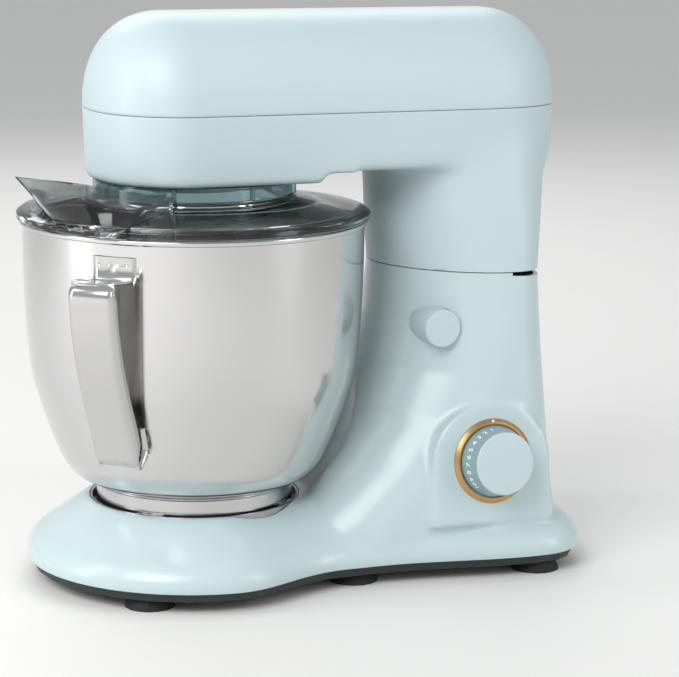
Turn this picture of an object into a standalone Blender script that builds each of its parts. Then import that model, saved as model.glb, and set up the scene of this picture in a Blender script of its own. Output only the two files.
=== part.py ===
"""Tilt-head stand mixer: base and column, tilting head with its drive, steel bowl and clear splash guard.

The frame has +Z up and the bowl towards -X. The speed knob is on the -Y side. The origin lies on the table
under the middle of the whole mixer. Every piece is laid out from the bowl's upright axis, which stands at
BOWL_X, so the lengths below along X are measured from that axis.
"""

import math

import bmesh
import bpy
from mathutils import Matrix, Vector

mm = 0.001

# Overall places
BOWL_X = -61.02 * mm  # the bowl's axis, from the origin
GAP = 0.3 * mm  # between two pieces that touch
WALL = 2.8 * mm  # moulded shells
PLAN_POINTS = 40

# Head
HEAD_FRONT = -67.5 * mm
HEAD_REAR = 236.8 * mm
HEAD_HALF_WIDTH = 64.5 * mm
HEAD_FRONT_CAP = 50.0 * mm
HEAD_REAR_CAP = 71.0 * mm
HEAD_BOTTOM = 252.0 * mm
HEAD_SEAM = 294.7 * mm
HEAD_TOP = 354.5 * mm
HEAD_DRAFT = 1.6 * mm
HEAD_STEP_X = 60.0 * mm  # behind this the underside is higher
HEAD_STEP = 6.0 * mm

# Neck and column, which meet at the tilt seam
SEAM_Z = 192.5 * mm
SEAM_GAP = 0.6 * mm
COLUMN_FRONT = 122.0 * mm
COLUMN_REAR = 219.7 * mm
COLUMN_HALF_WIDTH = 73.1 * mm
COLUMN_FRONT_CAP = 71.0 * mm
COLUMN_REAR_CAP = 36.2 * mm
COLUMN_FRONT_POWER = 1.8
COLUMN_REAR_POWER = 2.5

# Hinge at the back of the tilt seam
PIN_X = 211.0 * mm
PIN_R = 2.6 * mm
PIN_HALF_LENGTH = 26.0 * mm
REAR_DROP = 6.4 * mm  # the column's rear edge is this much lower, so that the neck can roll down

# Base
BASE_R = 106.5 * mm
BASE_REAR = 249.0 * mm
BASE_WAIST = 82.3 * mm
BASE_WAIST_X = 92.0 * mm
BASE_REAR_HALF = 96.0 * mm
BASE_REAR_CAP = 50.0 * mm
BASE_BOTTOM = 13.3 * mm
BASE_TOP = 50.2 * mm
FOOT_HEIGHT = 8.0 * mm
PLATE_INSET = 3.0 * mm

# Bowl, its seat and its handle
BOWL_RIM_Z = 224.0 * mm
BOWL_BOTTOM = 62.0 * mm
BOWL_RIM_R = 106.6 * mm
BOWL_WALL = 1.0 * mm
FOOT_RING_R = 62.0 * mm
FOOT_RING_BOTTOM = 45.2 * mm
BEAD_TOP = 59.6 * mm
SEAT_R = 66.6 * mm
SEAT_FLOOR = 42.0 * mm
LUGS = 4
HANDLE_ANGLE = math.radians(-135)
HANDLE_WIDTH = 28.0 * mm
HANDLE_STANDOFF = 31.0 * mm

# Splash guard and the clear ring above it
GUARD_R = 110.0 * mm
GUARD_WALL = 2.0 * mm
COLLAR_R = 62.0 * mm
COLLAR_BOTTOM = 240.5 * mm
SPOUT_ANGLE = math.radians(-158)
SPOUT_REACH = 138.0 * mm
SPOUT_HALF_ANGLE = math.radians(38)
SPOUT_LOW_ANGLE = math.radians(27)  # half of what the spout's foot spans
SPOUT_CLEAR_R = 75.0 * mm  # nearer the middle than this it stays under the head
SPOUT_TOP = 262.5 * mm

# Drive train
GEAR_MODULE = 1.25 * mm
PLANET_TEETH = 14
RING_TEETH = 50
DRIVE_MODULE = 1.5 * mm
PINION_TEETH = 12
DRIVE_TEETH = 44
WHEEL_TEETH = 40
WORM_STARTS = 4
WHEEL_R = 22.0 * mm
WORM_R = 7.0 * mm
MOTOR_Z = 301.0 * mm
MOTOR_R = 34.0 * mm
MOTOR_FRONT = 62.0 * mm
MOTOR_REAR = 165.0 * mm
HUB_R = 46.0 * mm
SHAFT_R = 6.0 * mm
PLANET_OFFSET = GEAR_MODULE * (RING_TEETH - PLANET_TEETH) / 2

# Controls on the -Y side
BUTTON_X = 142.3 * mm
BUTTON_Z = 158.0 * mm
BUTTON_R = 12.0 * mm
BUTTON_FACE_Y = -65.5 * mm
KNOB_X = 170.8 * mm
KNOB_Z = 74.4 * mm
KNOB_TILT = math.radians(6.5)
KNOB_R = 22.5 * mm
KNOB_FACE_R = 19.8 * mm
KNOB_HEIGHT = 19.0 * mm
DIAL_R = 26.8 * mm
PAD_FACE_Y = -81.0 * mm
PAD_HALF_WIDTH = 41.0 * mm

# Cord inlet at the back
GLAND_R = 5.0 * mm
GLAND_Z = 19.6 * mm


def linear(hex_colour):
    """An sRGB hex colour as linear red, green and blue."""
    channels = [int(hex_colour[i : i + 2], 16) / 255 for i in (1, 3, 5)]
    return [c / 12.92 if c < 0.04045 else ((c + 0.055) / 1.055) ** 2.4 for c in channels]


FINISHES = {
    "shell": ("#C3D7DC", 0.35, 0.0),
    "steel": ("#C9C9CB", 0.12, 1.0),
    "dark_steel": ("#8C8F92", 0.4, 1.0),
    "gold": ("#C79A5B", 0.3, 1.0),
    "black_plastic": ("#26302F", 0.5, 0.0),
    "rubber": ("#1B1D1D", 0.8, 0.0),
    "clear": ("#B9C2C4", 0.05, 0.0),
    "clear_teal": ("#8FB4B6", 0.05, 0.0),
    "cast_alloy": ("#A9ACAE", 0.5, 1.0),
    "nylon": ("#E8E4D8", 0.5, 0.0),
    "brass": ("#B58A43", 0.35, 1.0),
    "copper": ("#B06A3C", 0.4, 1.0),
    "board": ("#2F6B45", 0.6, 0.0),
}


def finish(name):
    material = bpy.data.materials.get(name)
    if material is None:
        material = bpy.data.materials.new(name)
        material.use_nodes = True
        colour, roughness, metallic = FINISHES[name]
        shader = material.node_tree.nodes["Principled BSDF"]
        shader.inputs["Base Color"].default_value = (*linear(colour), 1)
        shader.inputs["Roughness"].default_value = roughness
        shader.inputs["Metallic"].default_value = metallic
    return material


for leftover in list(bpy.data.objects):
    bpy.data.objects.remove(leftover)
PARTS = bpy.data.collections.new("stand_mixer")
CUTTERS = bpy.data.collections.new("cutters")
for collection in (PARTS, CUTTERS):
    bpy.context.scene.collection.children.link(collection)
CUTTERS.hide_render = True


# Shapes


def add(name, bm, material=None, smooth=True):
    """Turns a bmesh into an object: a part when it has a material, a cutter when it has none."""
    bmesh.ops.recalc_face_normals(bm, faces=bm.faces)
    mesh = bpy.data.meshes.new(name)
    bm.to_mesh(mesh)
    bm.free()
    obj = bpy.data.objects.new(name, mesh)
    if material is None:
        CUTTERS.objects.link(obj)
        obj.hide_render = True
        obj.display_type = "WIRE"
    else:
        PARTS.objects.link(obj)
        mesh.materials.append(finish(material))
        if smooth:
            mesh.shade_smooth()
            mesh.set_sharp_from_angle(angle=math.radians(35))
    return obj


def boolean(obj, other, operation):
    modifier = obj.modifiers.new(operation.lower(), "BOOLEAN")
    modifier.operation = operation
    modifier.object = other
    modifier.solver = "EXACT"
    return obj


def cut(obj, *cutters):
    for cutter in cutters:
        boolean(obj, cutter, "DIFFERENCE")
    return obj


def join(obj, *others):
    for other in others:
        boolean(obj, other, "UNION")
    return obj


def loft(name, rings, material=None):
    """A closed solid through rings of equally many points."""
    bm = bmesh.new()
    loops = [[bm.verts.new(point) for point in ring] for ring in rings]
    count = len(loops[0])
    for lower, upper in zip(loops, loops[1:]):
        for i in range(count):
            j = (i + 1) % count
            bm.faces.new((lower[i], lower[j], upper[j], upper[i]))
    bm.faces.new(loops[0])
    bm.faces.new(loops[-1])
    return add(name, bm, material)


def box(name, low, high, material=None, bevel=0.0):
    bm = bmesh.new()
    bmesh.ops.create_cube(bm, size=1)
    size = [h - l for l, h in zip(low, high)]
    middle = [(h + l) / 2 for l, h in zip(low, high)]
    bmesh.ops.scale(bm, vec=size, verts=bm.verts)
    bmesh.ops.translate(bm, vec=middle, verts=bm.verts)
    obj = add(name, bm, material, smooth=False)
    if bevel:
        edge = obj.modifiers.new("edges", "BEVEL")
        edge.width = bevel
        edge.segments = 1
    return obj


AXES = {
    "x": Matrix.Rotation(math.pi / 2, 4, "Y"),
    "y": Matrix.Rotation(-math.pi / 2, 4, "X"),
    "z": Matrix.Identity(4),
}


def cylinder(name, radius, start, end, material=None, axis="z", at=(0, 0, 0), sides=32, top=None):
    """A cylinder or cone along an axis, from start to end along it, through the point at."""
    bm = bmesh.new()
    bmesh.ops.create_cone(
        bm,
        cap_ends=True,
        segments=sides,
        radius1=radius,
        radius2=radius if top is None else top,
        depth=end - start,
        matrix=Matrix.Translation(Vector(at))
        @ AXES[axis]
        @ Matrix.Translation((0, 0, (start + end) / 2)),
    )
    return add(name, bm, material)


def turned(name, profile, material=None, axis="z", at=(0, 0, 0), sides=32):
    """Turns a profile of (radius, height) points about an axis. A profile that leaves the axis is closed."""
    area = sum(r1 * z2 - r2 * z1 for (r1, z1), (r2, z2) in zip(profile, profile[1:] + profile[:1]))
    points = list(reversed(profile)) if area > 0 else list(profile)
    on_axis = [i for i, (r, _) in enumerate(points) if r == 0]
    if on_axis:
        while not (points[0][0] == 0 and points[-1][0] == 0):
            points = points[1:] + points[:1]
    bm = bmesh.new()
    verts = [bm.verts.new((r, 0, z)) for r, z in points]
    for first, second in zip(verts, verts[1:]):
        bm.edges.new((first, second))
    if not on_axis:
        bm.edges.new((verts[-1], verts[0]))
    mesh = bpy.data.meshes.new(name)
    bm.to_mesh(mesh)
    bm.free()
    obj = bpy.data.objects.new(name, mesh)
    obj.matrix_world = Matrix.Translation(Vector(at)) @ AXES[axis]
    if material is None:
        CUTTERS.objects.link(obj)
        obj.hide_render = True
        obj.display_type = "WIRE"
    else:
        PARTS.objects.link(obj)
        mesh.materials.append(finish(material))
    screw = obj.modifiers.new("turn", "SCREW")
    screw.steps = screw.render_steps = sides
    screw.use_merge_vertices = True
    screw.merge_threshold = 0.00001
    screw.use_smooth_shade = True
    return obj


def flat(name, outlines, low, high, material=None, axis="z", at=(0, 0, 0), turn=0.0):
    """A flat outline, with any holes in it, given a thickness from low to high along an axis."""
    curve = bpy.data.curves.new(name, "CURVE")
    curve.dimensions = "2D"
    curve.fill_mode = "BOTH"
    curve.extrude = (high - low) / 2
    for outline in outlines:
        spline = curve.splines.new("POLY")
        spline.points.add(len(outline) - 1)
        for point, (x, y) in zip(spline.points, outline):
            point.co = (x, y, 0, 1)
        spline.use_cyclic_u = True
    guide = bpy.data.objects.new(name + "_outline", curve)
    bpy.context.scene.collection.objects.link(guide)
    bpy.context.view_layer.update()
    mesh = bpy.data.meshes.new_from_object(guide.evaluated_get(bpy.context.evaluated_depsgraph_get()))
    bpy.data.objects.remove(guide)
    bm = bmesh.new()
    bm.from_mesh(mesh)
    bpy.data.meshes.remove(mesh)
    bmesh.ops.remove_doubles(bm, verts=bm.verts, dist=0.000001)
    place = Matrix.Translation(Vector(at)) @ AXES[axis] @ Matrix.Rotation(turn, 4, "Z")
    bmesh.ops.transform(bm, matrix=place @ Matrix.Translation((0, 0, (low + high) / 2)), verts=bm.verts)
    return add(name, bm, material)


def circle(radius, count=32, centre=(0, 0)):
    steps = [2 * math.pi * i / count for i in range(count)]
    return [(centre[0] + radius * math.cos(a), centre[1] + radius * math.sin(a)) for a in steps]


def toothed(teeth, root, tip):
    """A gear's outline with straight flanks. The first tooth points along +X."""
    pitch = 2 * math.pi / teeth
    corners = [(-0.28, root), (-0.11, tip), (0.11, tip), (0.28, root)]
    return [
        (radius * math.cos((i + share) * pitch), radius * math.sin((i + share) * pitch))
        for i in range(teeth)
        for share, radius in corners
    ]


def loaf(front, rear, half_width, front_cap, rear_cap, front_power, rear_power, z):
    """A level outline: two superelliptic ends joined by straight sides, where there is room for them."""
    over = max(front_cap + rear_cap - (rear - front), 0) / 2
    front_cap, rear_cap = front_cap - over, rear_cap - over
    ring = []
    for i in range(PLAN_POINTS):
        angle = 2 * math.pi * (i + 0.5) / PLAN_POINTS
        c, s = math.cos(angle), math.sin(angle)
        cap, power, centre = (
            (rear_cap, rear_power, rear - rear_cap) if c > 0 else (front_cap, front_power, front + front_cap)
        )
        x = centre + math.copysign(abs(c) ** (2 / power), c) * cap
        ring.append((x, math.copysign(abs(s) ** (2 / power), s) * half_width, z))
    return ring


# Base and column


def ease(share):
    share = min(max(share, 0), 1)
    return share * share * (3 - 2 * share)


def base_half_width(x):
    """Half the base's width: round in front, drawn in at the waist and wider again behind."""
    round_front = math.sqrt(max(BASE_R**2 - min(x, BASE_WAIST_X) ** 2, 0))
    waist_blend = ease((x + 10 * mm) / (BASE_WAIST_X + 3 * mm))
    width = BASE_WAIST + (round_front - BASE_WAIST) * (1 - waist_blend)
    rear_start = BASE_REAR - BASE_REAR_CAP
    width += (BASE_REAR_HALF - BASE_WAIST) * ease((x - BASE_WAIST_X) / (rear_start - BASE_WAIST_X))
    return width


def base_outline(inset, z):
    """The base's outline at one level, moved inwards by inset."""
    side = []
    for i in range(8):
        angle = math.pi * (1 - i / 16)
        side.append((BASE_R * math.cos(angle), BASE_R * math.sin(angle)))
    start, stop = side[-1][0], BASE_REAR - BASE_REAR_CAP
    for i in range(1, 8):
        x = start + (stop - start) * i / 8
        side.append((x, base_half_width(x)))
    for i in range(7):
        angle = math.pi / 2 * (1 - i / 6)
        c, s = max(math.cos(angle), 0), max(math.sin(angle), 0)
        side.append((stop + BASE_REAR_CAP * c ** (2 / 2.6), BASE_REAR_HALF * s ** (2 / 2.6)))
    ring = side + [(x, -y) for x, y in reversed(side[1:-1])]
    moved = []
    for i, (x, y) in enumerate(ring):
        before, after = ring[i - 1], ring[(i + 1) % len(ring)]
        along = Vector((after[0] - before[0], after[1] - before[1])).normalized()
        moved.append((x + inset * along.y, y - inset * along.x, z))
    return moved


def column_ring(z, grow=0.0):
    """The column's outline at one level. It leans forward and widens towards the base."""
    stations = [
        # height, front, rear, half width
        (20 * mm, 30 * mm, 240 * mm, 81.0 * mm),
        (36 * mm, 32 * mm, 234 * mm, 80.5 * mm),
        (50 * mm, 46 * mm, 232 * mm, 79.5 * mm),
        (75 * mm, 74 * mm, 229.5 * mm, 78.0 * mm),
        (100 * mm, 97 * mm, 227.5 * mm, 76.7 * mm),
        (130 * mm, 112 * mm, 225 * mm, 75.4 * mm),
        (160 * mm, 119 * mm, 222.3 * mm, 74.3 * mm),
        (SEAM_Z, COLUMN_FRONT, COLUMN_REAR, COLUMN_HALF_WIDTH),
    ]
    lower, upper = next(
        (a, b) for a, b in zip(stations, stations[1:]) if z <= b[0] or b is stations[-1]
    )
    share = (z - lower[0]) / (upper[0] - lower[0])
    front, rear, half = (a + (b - a) * share for a, b in zip(lower[1:], upper[1:]))
    return loaf(
        front - grow,
        rear + grow,
        half + grow,
        COLUMN_FRONT_CAP + grow,
        COLUMN_REAR_CAP + grow,
        COLUMN_FRONT_POWER,
        COLUMN_REAR_POWER,
        z,
    )


def bowl_clearance(extra, name):
    """What the column stays clear of: the space round the bowl, turned about its axis."""
    profile = [
        (0, 30 * mm),
        (SEAT_R + 7 * mm + extra, 30 * mm),
        (SEAT_R + 7 * mm + extra, 52 * mm),
        (80 * mm + extra, 62 * mm),
        (93 * mm + extra, 78 * mm),
        (103 * mm + extra, 100 * mm),
        (110 * mm + extra, 130 * mm),
        (112.5 * mm + extra, 165 * mm),
        (113 * mm + extra, 260 * mm),
        (0, 260 * mm),
    ]
    return turned(name, profile, sides=40)


def make_base_housing():
    levels = [(BASE_BOTTOM, 1.0), (15.3 * mm, 0), (20 * mm, 0.3), (24 * mm, 2.5), (28 * mm, 6)]
    levels += [(36 * mm, 17), (44 * mm, 28.5), (BASE_TOP, 38)]
    housing = loft("base_housing", [base_outline(inset * mm, z) for z, inset in levels], "shell")
    heights = [20, 50, 75, 100, 130, 160]
    rings = [column_ring(h * mm) for h in heights] + [column_ring(SEAM_Z - SEAM_GAP / 2)]
    column = cut(loft("column_form", rings), bowl_clearance(0, "bowl_space"))
    pad = make_pad("pad_form")
    join(housing, column, pad)
    hollow_levels = [(5 * mm, 3.6), (20 * mm, 3.3), (24 * mm, 5.5), (28 * mm, 9), (34 * mm, 18)]
    hollow_levels += [(SEAT_FLOOR - WALL - 1 * mm, 26)]
    base_hollow = loft("base_hollow", [base_outline(inset * mm, z) for z, inset in hollow_levels])
    column_hollow = loft(
        "column_hollow", [column_ring(h * mm, -WALL) for h in heights] + [column_ring(SEAM_Z + 9 * mm, -WALL)]
    )
    cut(column_hollow, bowl_clearance(WALL, "bowl_space_and_wall"))
    rear_notch = flat(
        "rear_notch",
        [[(198 * mm, SEAM_Z - 3 * mm), (260 * mm, SEAM_Z - REAR_DROP - 1.5 * mm), (260 * mm, 210 * mm),
            (198 * mm, 210 * mm)]],
        -100 * mm,
        100 * mm,
    )
    rear_notch.data.transform(Matrix.Rotation(math.pi / 2, 4, "X"))
    seat = cylinder("seat_bore", SEAT_R, SEAT_FLOOR, 80 * mm, sides=40)
    button_bore = cylinder(
        "button_bore", BUTTON_R + 0.5 * mm, -90 * mm, -20 * mm, axis="y", at=(BUTTON_X, 0, BUTTON_Z)
    )
    knob_bore = cylinder("knob_bore", 4.5 * mm, -12 * mm, 12 * mm, sides=24)
    knob_bore.data.transform(knob_frame())
    gland_bore = cylinder(
        "gland_bore", GLAND_R + 0.3 * mm, 200 * mm, 270 * mm, axis="x", at=(0, 0, GLAND_Z), sides=24
    )
    cut(housing, base_hollow, column_hollow, rear_notch, seat, button_bore, knob_bore, gland_bore)
    return housing


def knob_frame():
    """Where the knob sits: its Z axis points out of the pad, away from the column."""
    out = Vector((0, -math.cos(KNOB_TILT), math.sin(KNOB_TILT)))
    return Matrix.Translation((KNOB_X, PAD_FACE_Y, KNOB_Z)) @ Vector((0, 0,
        1)).rotation_difference(out).to_matrix().to_4x4()


def make_pad(name):
    """The flat arched panel that the knob sits on, standing a little out of the column's side."""
    half = PAD_HALF_WIDTH
    drop = -40 * mm
    arch = [(half * math.cos(a), half * 0.93 * math.sin(a)) for a in [math.pi * i / 16 for i in range(17)]]
    outline = [(half + 1.5 * mm, drop)] + arch + [(-half - 1.5 * mm, drop)]
    pad = flat(name, [outline], -22 * mm, 0)
    # the outline's Y runs up the face, so it is turned to lie in the knob's plane
    pad.data.transform(knob_frame() @ Matrix.Rotation(knob_roll(), 4, "Z"))
    return pad


def knob_roll():
    """Turns a drawing in the knob's plane so that its Y axis points up the face."""
    frame = knob_frame().to_3x3()
    up = frame.inverted() @ Vector((0, math.sin(KNOB_TILT), math.cos(KNOB_TILT)))
    return math.atan2(up.y, up.x) - math.pi / 2


def make_base():
    pieces = [make_base_housing()]
    plate_top = BASE_BOTTOM - GAP
    plate_levels = [(FOOT_HEIGHT - 0.5 * mm, PLATE_INSET + 1.5 * mm), (plate_top, PLATE_INSET)]
    plate = loft("base_plate", [base_outline(inset, z) for z, inset in plate_levels], "black_plastic")
    feet = [(-52, -68), (-52, 68), (85, -60), (85, 60), (205, -76), (205, 76)]
    for i, (x, y) in enumerate(feet, 1):
        middle = (x * mm, y * mm, 0)
        cut(plate, cylinder(f"foot_bore_{i}", 5.3 * mm, 0, 20 * mm, at=middle, sides=16))
        profile = [(0, 2 * mm), (9 * mm, 2 * mm), (10.5 * mm, 0), (15.5 * mm, 0), (15 * mm, 2 * mm)]
        profile += [(12 * mm, FOOT_HEIGHT - 0.8 * mm), (5 * mm, FOOT_HEIGHT - 0.8 * mm)]
        profile += [(5 * mm, plate_top - 0.6 * mm), (0, plate_top - 0.6 * mm)]
        pieces.append(turned(f"suction_foot_{i}", profile, "rubber", at=middle, sides=16))
    screws = [(-20, -80), (-20, 80), (150, -74), (150, 74)]
    for i, (x, y) in enumerate(screws, 1):
        middle = (x * mm, y * mm, 0)
        cut(plate, cylinder(f"base_screw_bore_{i}", 2.3 * mm, 0, 20 * mm, at=middle, sides=12))
        cut(plate, cylinder(f"base_screw_sink_{i}", 4.6 * mm, 0, 10.5 * mm, at=middle, sides=16))
        head, tip = 8 * mm, 24 * mm
        profile = [(0, tip), (2 * mm, tip), (2 * mm, 10.3 * mm), (4 * mm, 10 * mm), (4 * mm, head), (0, head)]
        screw = turned(f"base_screw_{i}", profile, "dark_steel", at=middle, sides=12)
        boss = cylinder(f"screw_boss_{i}", 5.5 * mm, BASE_BOTTOM, 36.5 * mm, at=middle, sides=12)
        bore = cylinder(f"boss_bore_{i}", 2.3 * mm, 5 * mm, 25 * mm, at=middle, sides=12)
        cut(join(pieces[0], boss), bore)
        pieces.append(screw)
    pieces.append(plate)
    pieces += [make_bowl_seat(), make_gland()] + make_hinge_lower() + make_controls()
    return pieces


def make_bowl_seat():
    """The steel ring sunk in the base that the bowl's lugs turn under."""
    floor = SEAT_FLOOR + GAP
    outer = SEAT_R - GAP
    profile = [(18 * mm, floor), (outer, floor), (outer, 50 * mm), (outer - 1.5 * mm, 50 * mm)]
    profile += [(outer - 1.5 * mm, floor + 2 * mm), (18 * mm, floor + 2 * mm)]
    seat = turned("bowl_seat", profile, "dark_steel", sides=32)
    for i in range(LUGS):
        angle = math.radians(45 + 90 * i)
        tab = box(f"seat_tab_{i}", (-2.6 * mm, -9 * mm, 48.2 * mm), (0.4 * mm, 9 * mm, 50 * mm))
        turn = Matrix.Rotation(angle, 4, "Z") @ Matrix.Translation((outer - 1.5 * mm, 0, 0))
        tab.data.transform(turn)
        join(seat, tab)
    return seat


def make_gland():
    """The rubber sleeve in the back of the base that the cord comes out through."""
    flange, flange_end = BASE_REAR - 13 * mm, BASE_REAR - 8 * mm
    profile = [(3 * mm, flange), (GLAND_R + 1.2 * mm, flange), (GLAND_R + 1.2 * mm, flange_end)]
    profile += [(GLAND_R, flange_end), (GLAND_R, BASE_REAR + 1 * mm), (3 * mm, BASE_REAR + 1 * mm)]
    return turned("cord_gland", profile, "rubber", axis="x", at=(0, 0, GLAND_Z), sides=20)


def make_hinge_lower():
    pin = cylinder("hinge_pin", PIN_R, -PIN_HALF_LENGTH, PIN_HALF_LENGTH, "dark_steel", "y",
        (PIN_X, 0, SEAM_Z), 20)
    bracket = box(
        "hinge_bracket_lower", (178 * mm, -25 * mm, 168 * mm), (217.2 * mm, 25 * mm, 171 * mm), "dark_steel"
    )
    for side in (-1, 1):
        low, high = sorted((side * 20 * mm, side * 25 * mm))
        ear = box(f"lower_ear_{side}", (PIN_X - 20 * mm, low, 169 * mm), (PIN_X + 2.5 * mm, high, SEAM_Z))
        knuckle = cylinder(f"lower_knuckle_{side}", 4.8 * mm, low, high, axis="y", at=(PIN_X, 0, SEAM_Z),
            sides=20)
        join(bracket, ear, knuckle)
    cut(bracket, cylinder("lower_pin_bore", PIN_R + 0.1 * mm, -30 * mm, 30 * mm, axis="y",
        at=(PIN_X, 0, SEAM_Z), sides=20))
    return [pin, bracket]


def make_controls():
    frame = knob_frame()
    ring_profile = [(KNOB_R + 0.8 * mm, 0.3 * mm), (DIAL_R, 0.3 * mm), (DIAL_R, 2.2 * mm)]
    ring_profile += [(DIAL_R - 0.6 * mm, 2.9 * mm), (KNOB_R + 1.4 * mm, 2.4 * mm),
        (KNOB_R + 0.8 * mm, 1.6 * mm)]
    ring = turned("dial_ring", ring_profile, "gold", sides=48)
    ring.matrix_world = frame
    switch = cylinder("speed_switch", 11 * mm, -15.8 * mm, -6.8 * mm, "black_plastic", sides=24)
    bore = cylinder("switch_bore", 3.3 * mm, -20 * mm, 5 * mm, sides=16)
    cut(switch, bore)
    for obj in (switch, bore):
        obj.data.transform(frame)
    board = box("control_board", (125 * mm, -45 * mm, 13.4 * mm), (190 * mm, 35 * mm, 15 * mm), "board")
    return [ring, switch, board]


# Bowl


def thicken(profile, wall):
    """A closed section: the profile, and back along its inner side at the wall's distance."""
    inner = []
    for i, point in enumerate(profile):
        before, after = profile[max(i - 1, 0)], profile[min(i + 1, len(profile) - 1)]
        along = Vector((after[0] - before[0], after[1] - before[1])).normalized()
        inner.append((point[0] - wall * along.y, point[1] + wall * along.x))
    return list(profile) + inner[::-1]


def bowl_outer():
    """The bowl's outer side from the edge of its flat bottom up to the rim."""
    heights = [62, 63, 66, 71, 79, 99, 131, 176]
    shares = [0.596, 0.635, 0.7, 0.747, 0.792, 0.866, 0.954, 0.99]
    side = [(BOWL_RIM_R * share, z * mm) for share, z in zip(shares, heights)]
    return side + [(BOWL_RIM_R, BOWL_RIM_Z - 1 * mm)]


def make_bowl():
    rim = [(BOWL_RIM_R + 1.8 * mm, BOWL_RIM_Z), (BOWL_RIM_R + 1.8 * mm, BOWL_RIM_Z + 2.2 * mm)]
    rim += [(BOWL_RIM_R - 0.4 * mm, BOWL_RIM_Z + 3.0 * mm), (BOWL_RIM_R - 1.1 * mm, BOWL_RIM_Z)]
    outer = bowl_outer()
    section = thicken(outer, BOWL_WALL)
    inner = section[len(outer) :]
    profile = [(0, outer[0][1])] + outer + rim + inner[1:] + [(0, inner[-1][1])]
    shell = turned("bowl_shell", profile, "steel", sides=40)
    bottom, bead = FOOT_RING_BOTTOM, BEAD_TOP
    top = BOWL_BOTTOM - GAP
    profile = [(FOOT_RING_R, bottom), (FOOT_RING_R, bead - 2 * mm), (FOOT_RING_R + 1.1 * mm, bead)]
    profile += [(FOOT_RING_R + 1.1 * mm, top - 0.7 * mm), (FOOT_RING_R, top), (FOOT_RING_R - 2 * mm, top)]
    profile += [(FOOT_RING_R - 1.2 * mm, bead - 2 * mm), (FOOT_RING_R - 1.2 * mm, bottom)]
    ring = turned("bowl_foot_ring", profile, "steel", sides=32)
    for i in range(LUGS):
        low = (FOOT_RING_R - 0.8 * mm, -7 * mm, FOOT_RING_BOTTOM + 0.3 * mm)
        lug = box(f"foot_lug_{i}", low, (FOOT_RING_R + 1.5 * mm, 7 * mm, FOOT_RING_BOTTOM + 2.2 * mm))
        lug.data.transform(Matrix.Rotation(math.radians(45 + 90 * i), 4, "Z"))
        join(ring, lug)
    return [shell, ring, make_handle()]


def bowl_radius(z):
    """The bowl's outer radius at a height."""
    side = bowl_outer()
    for (r1, z1), (r2, z2) in zip(side, side[1:]):
        if z <= z2:
            return r1 + (r2 - r1) * (z - z1) / (z2 - z1)
    return side[-1][0]


def make_handle():
    """A strap of sheet steel, spot welded to the bowl above and below, with turned-in edges on the grip."""
    sheet = 1.6 * mm
    reach = bowl_radius(200 * mm) + HANDLE_STANDOFF
    off = GAP + sheet / 2
    path = [(bowl_radius(z * mm) + off, z * mm) for z in (216, 206)]
    path += [(bowl_radius(204 * mm) + off + 2 * mm, 201.5 * mm), (reach - 6 * mm, 203.5 * mm)]
    path += [(reach - 1 * mm, 201.5 * mm), (reach + 1 * mm, 196.5 * mm)]
    grip = [(0, 188), (3, 170), (9, 148), (17, 128), (25, 110), (29, 99), (31.5, 92.5)]
    path += [(reach - inwards * mm, z * mm) for inwards, z in grip]
    path += [(reach - 35 * mm, 90 * mm), (reach - 39 * mm, 92 * mm)]
    path += [(bowl_radius(z * mm) + off, z * mm) for z in (99, 112)]
    strap = flat("bowl_handle", [thicken_both(path, sheet)], -HANDLE_WIDTH / 2, HANDLE_WIDTH / 2, "steel")
    outer = path[3:13]
    inner = [(r - 8 * mm, z) for r, z in outer[2:-1]]
    stand = Matrix.Rotation(HANDLE_ANGLE, 4, "Z") @ Matrix.Rotation(math.pi / 2, 4, "X")
    for side in (-1, 1):
        low, high = sorted((side * (HANDLE_WIDTH / 2 - 0.3 * mm), side * (HANDLE_WIDTH / 2 - 1.8 * mm)))
        edge = flat(f"handle_edge_{side}", [outer + inner[::-1]], low, high)
        edge.data.transform(stand)
        join(strap, edge)
    strap.data.transform(stand)
    return strap


def thicken_both(path, sheet):
    """The closed outline of a strip of this thickness along a path."""
    sides = ([], [])
    for i, point in enumerate(path):
        before, after = path[max(i - 1, 0)], path[min(i + 1, len(path) - 1)]
        along = Vector((after[0] - before[0], after[1] - before[1])).normalized()
        for side, sign in zip(sides, (1, -1)):
            side.append((point[0] - sign * along.y * sheet / 2, point[1] + sign * along.x * sheet / 2))
    return sides[0] + sides[1][::-1]


# Splash guard


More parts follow.
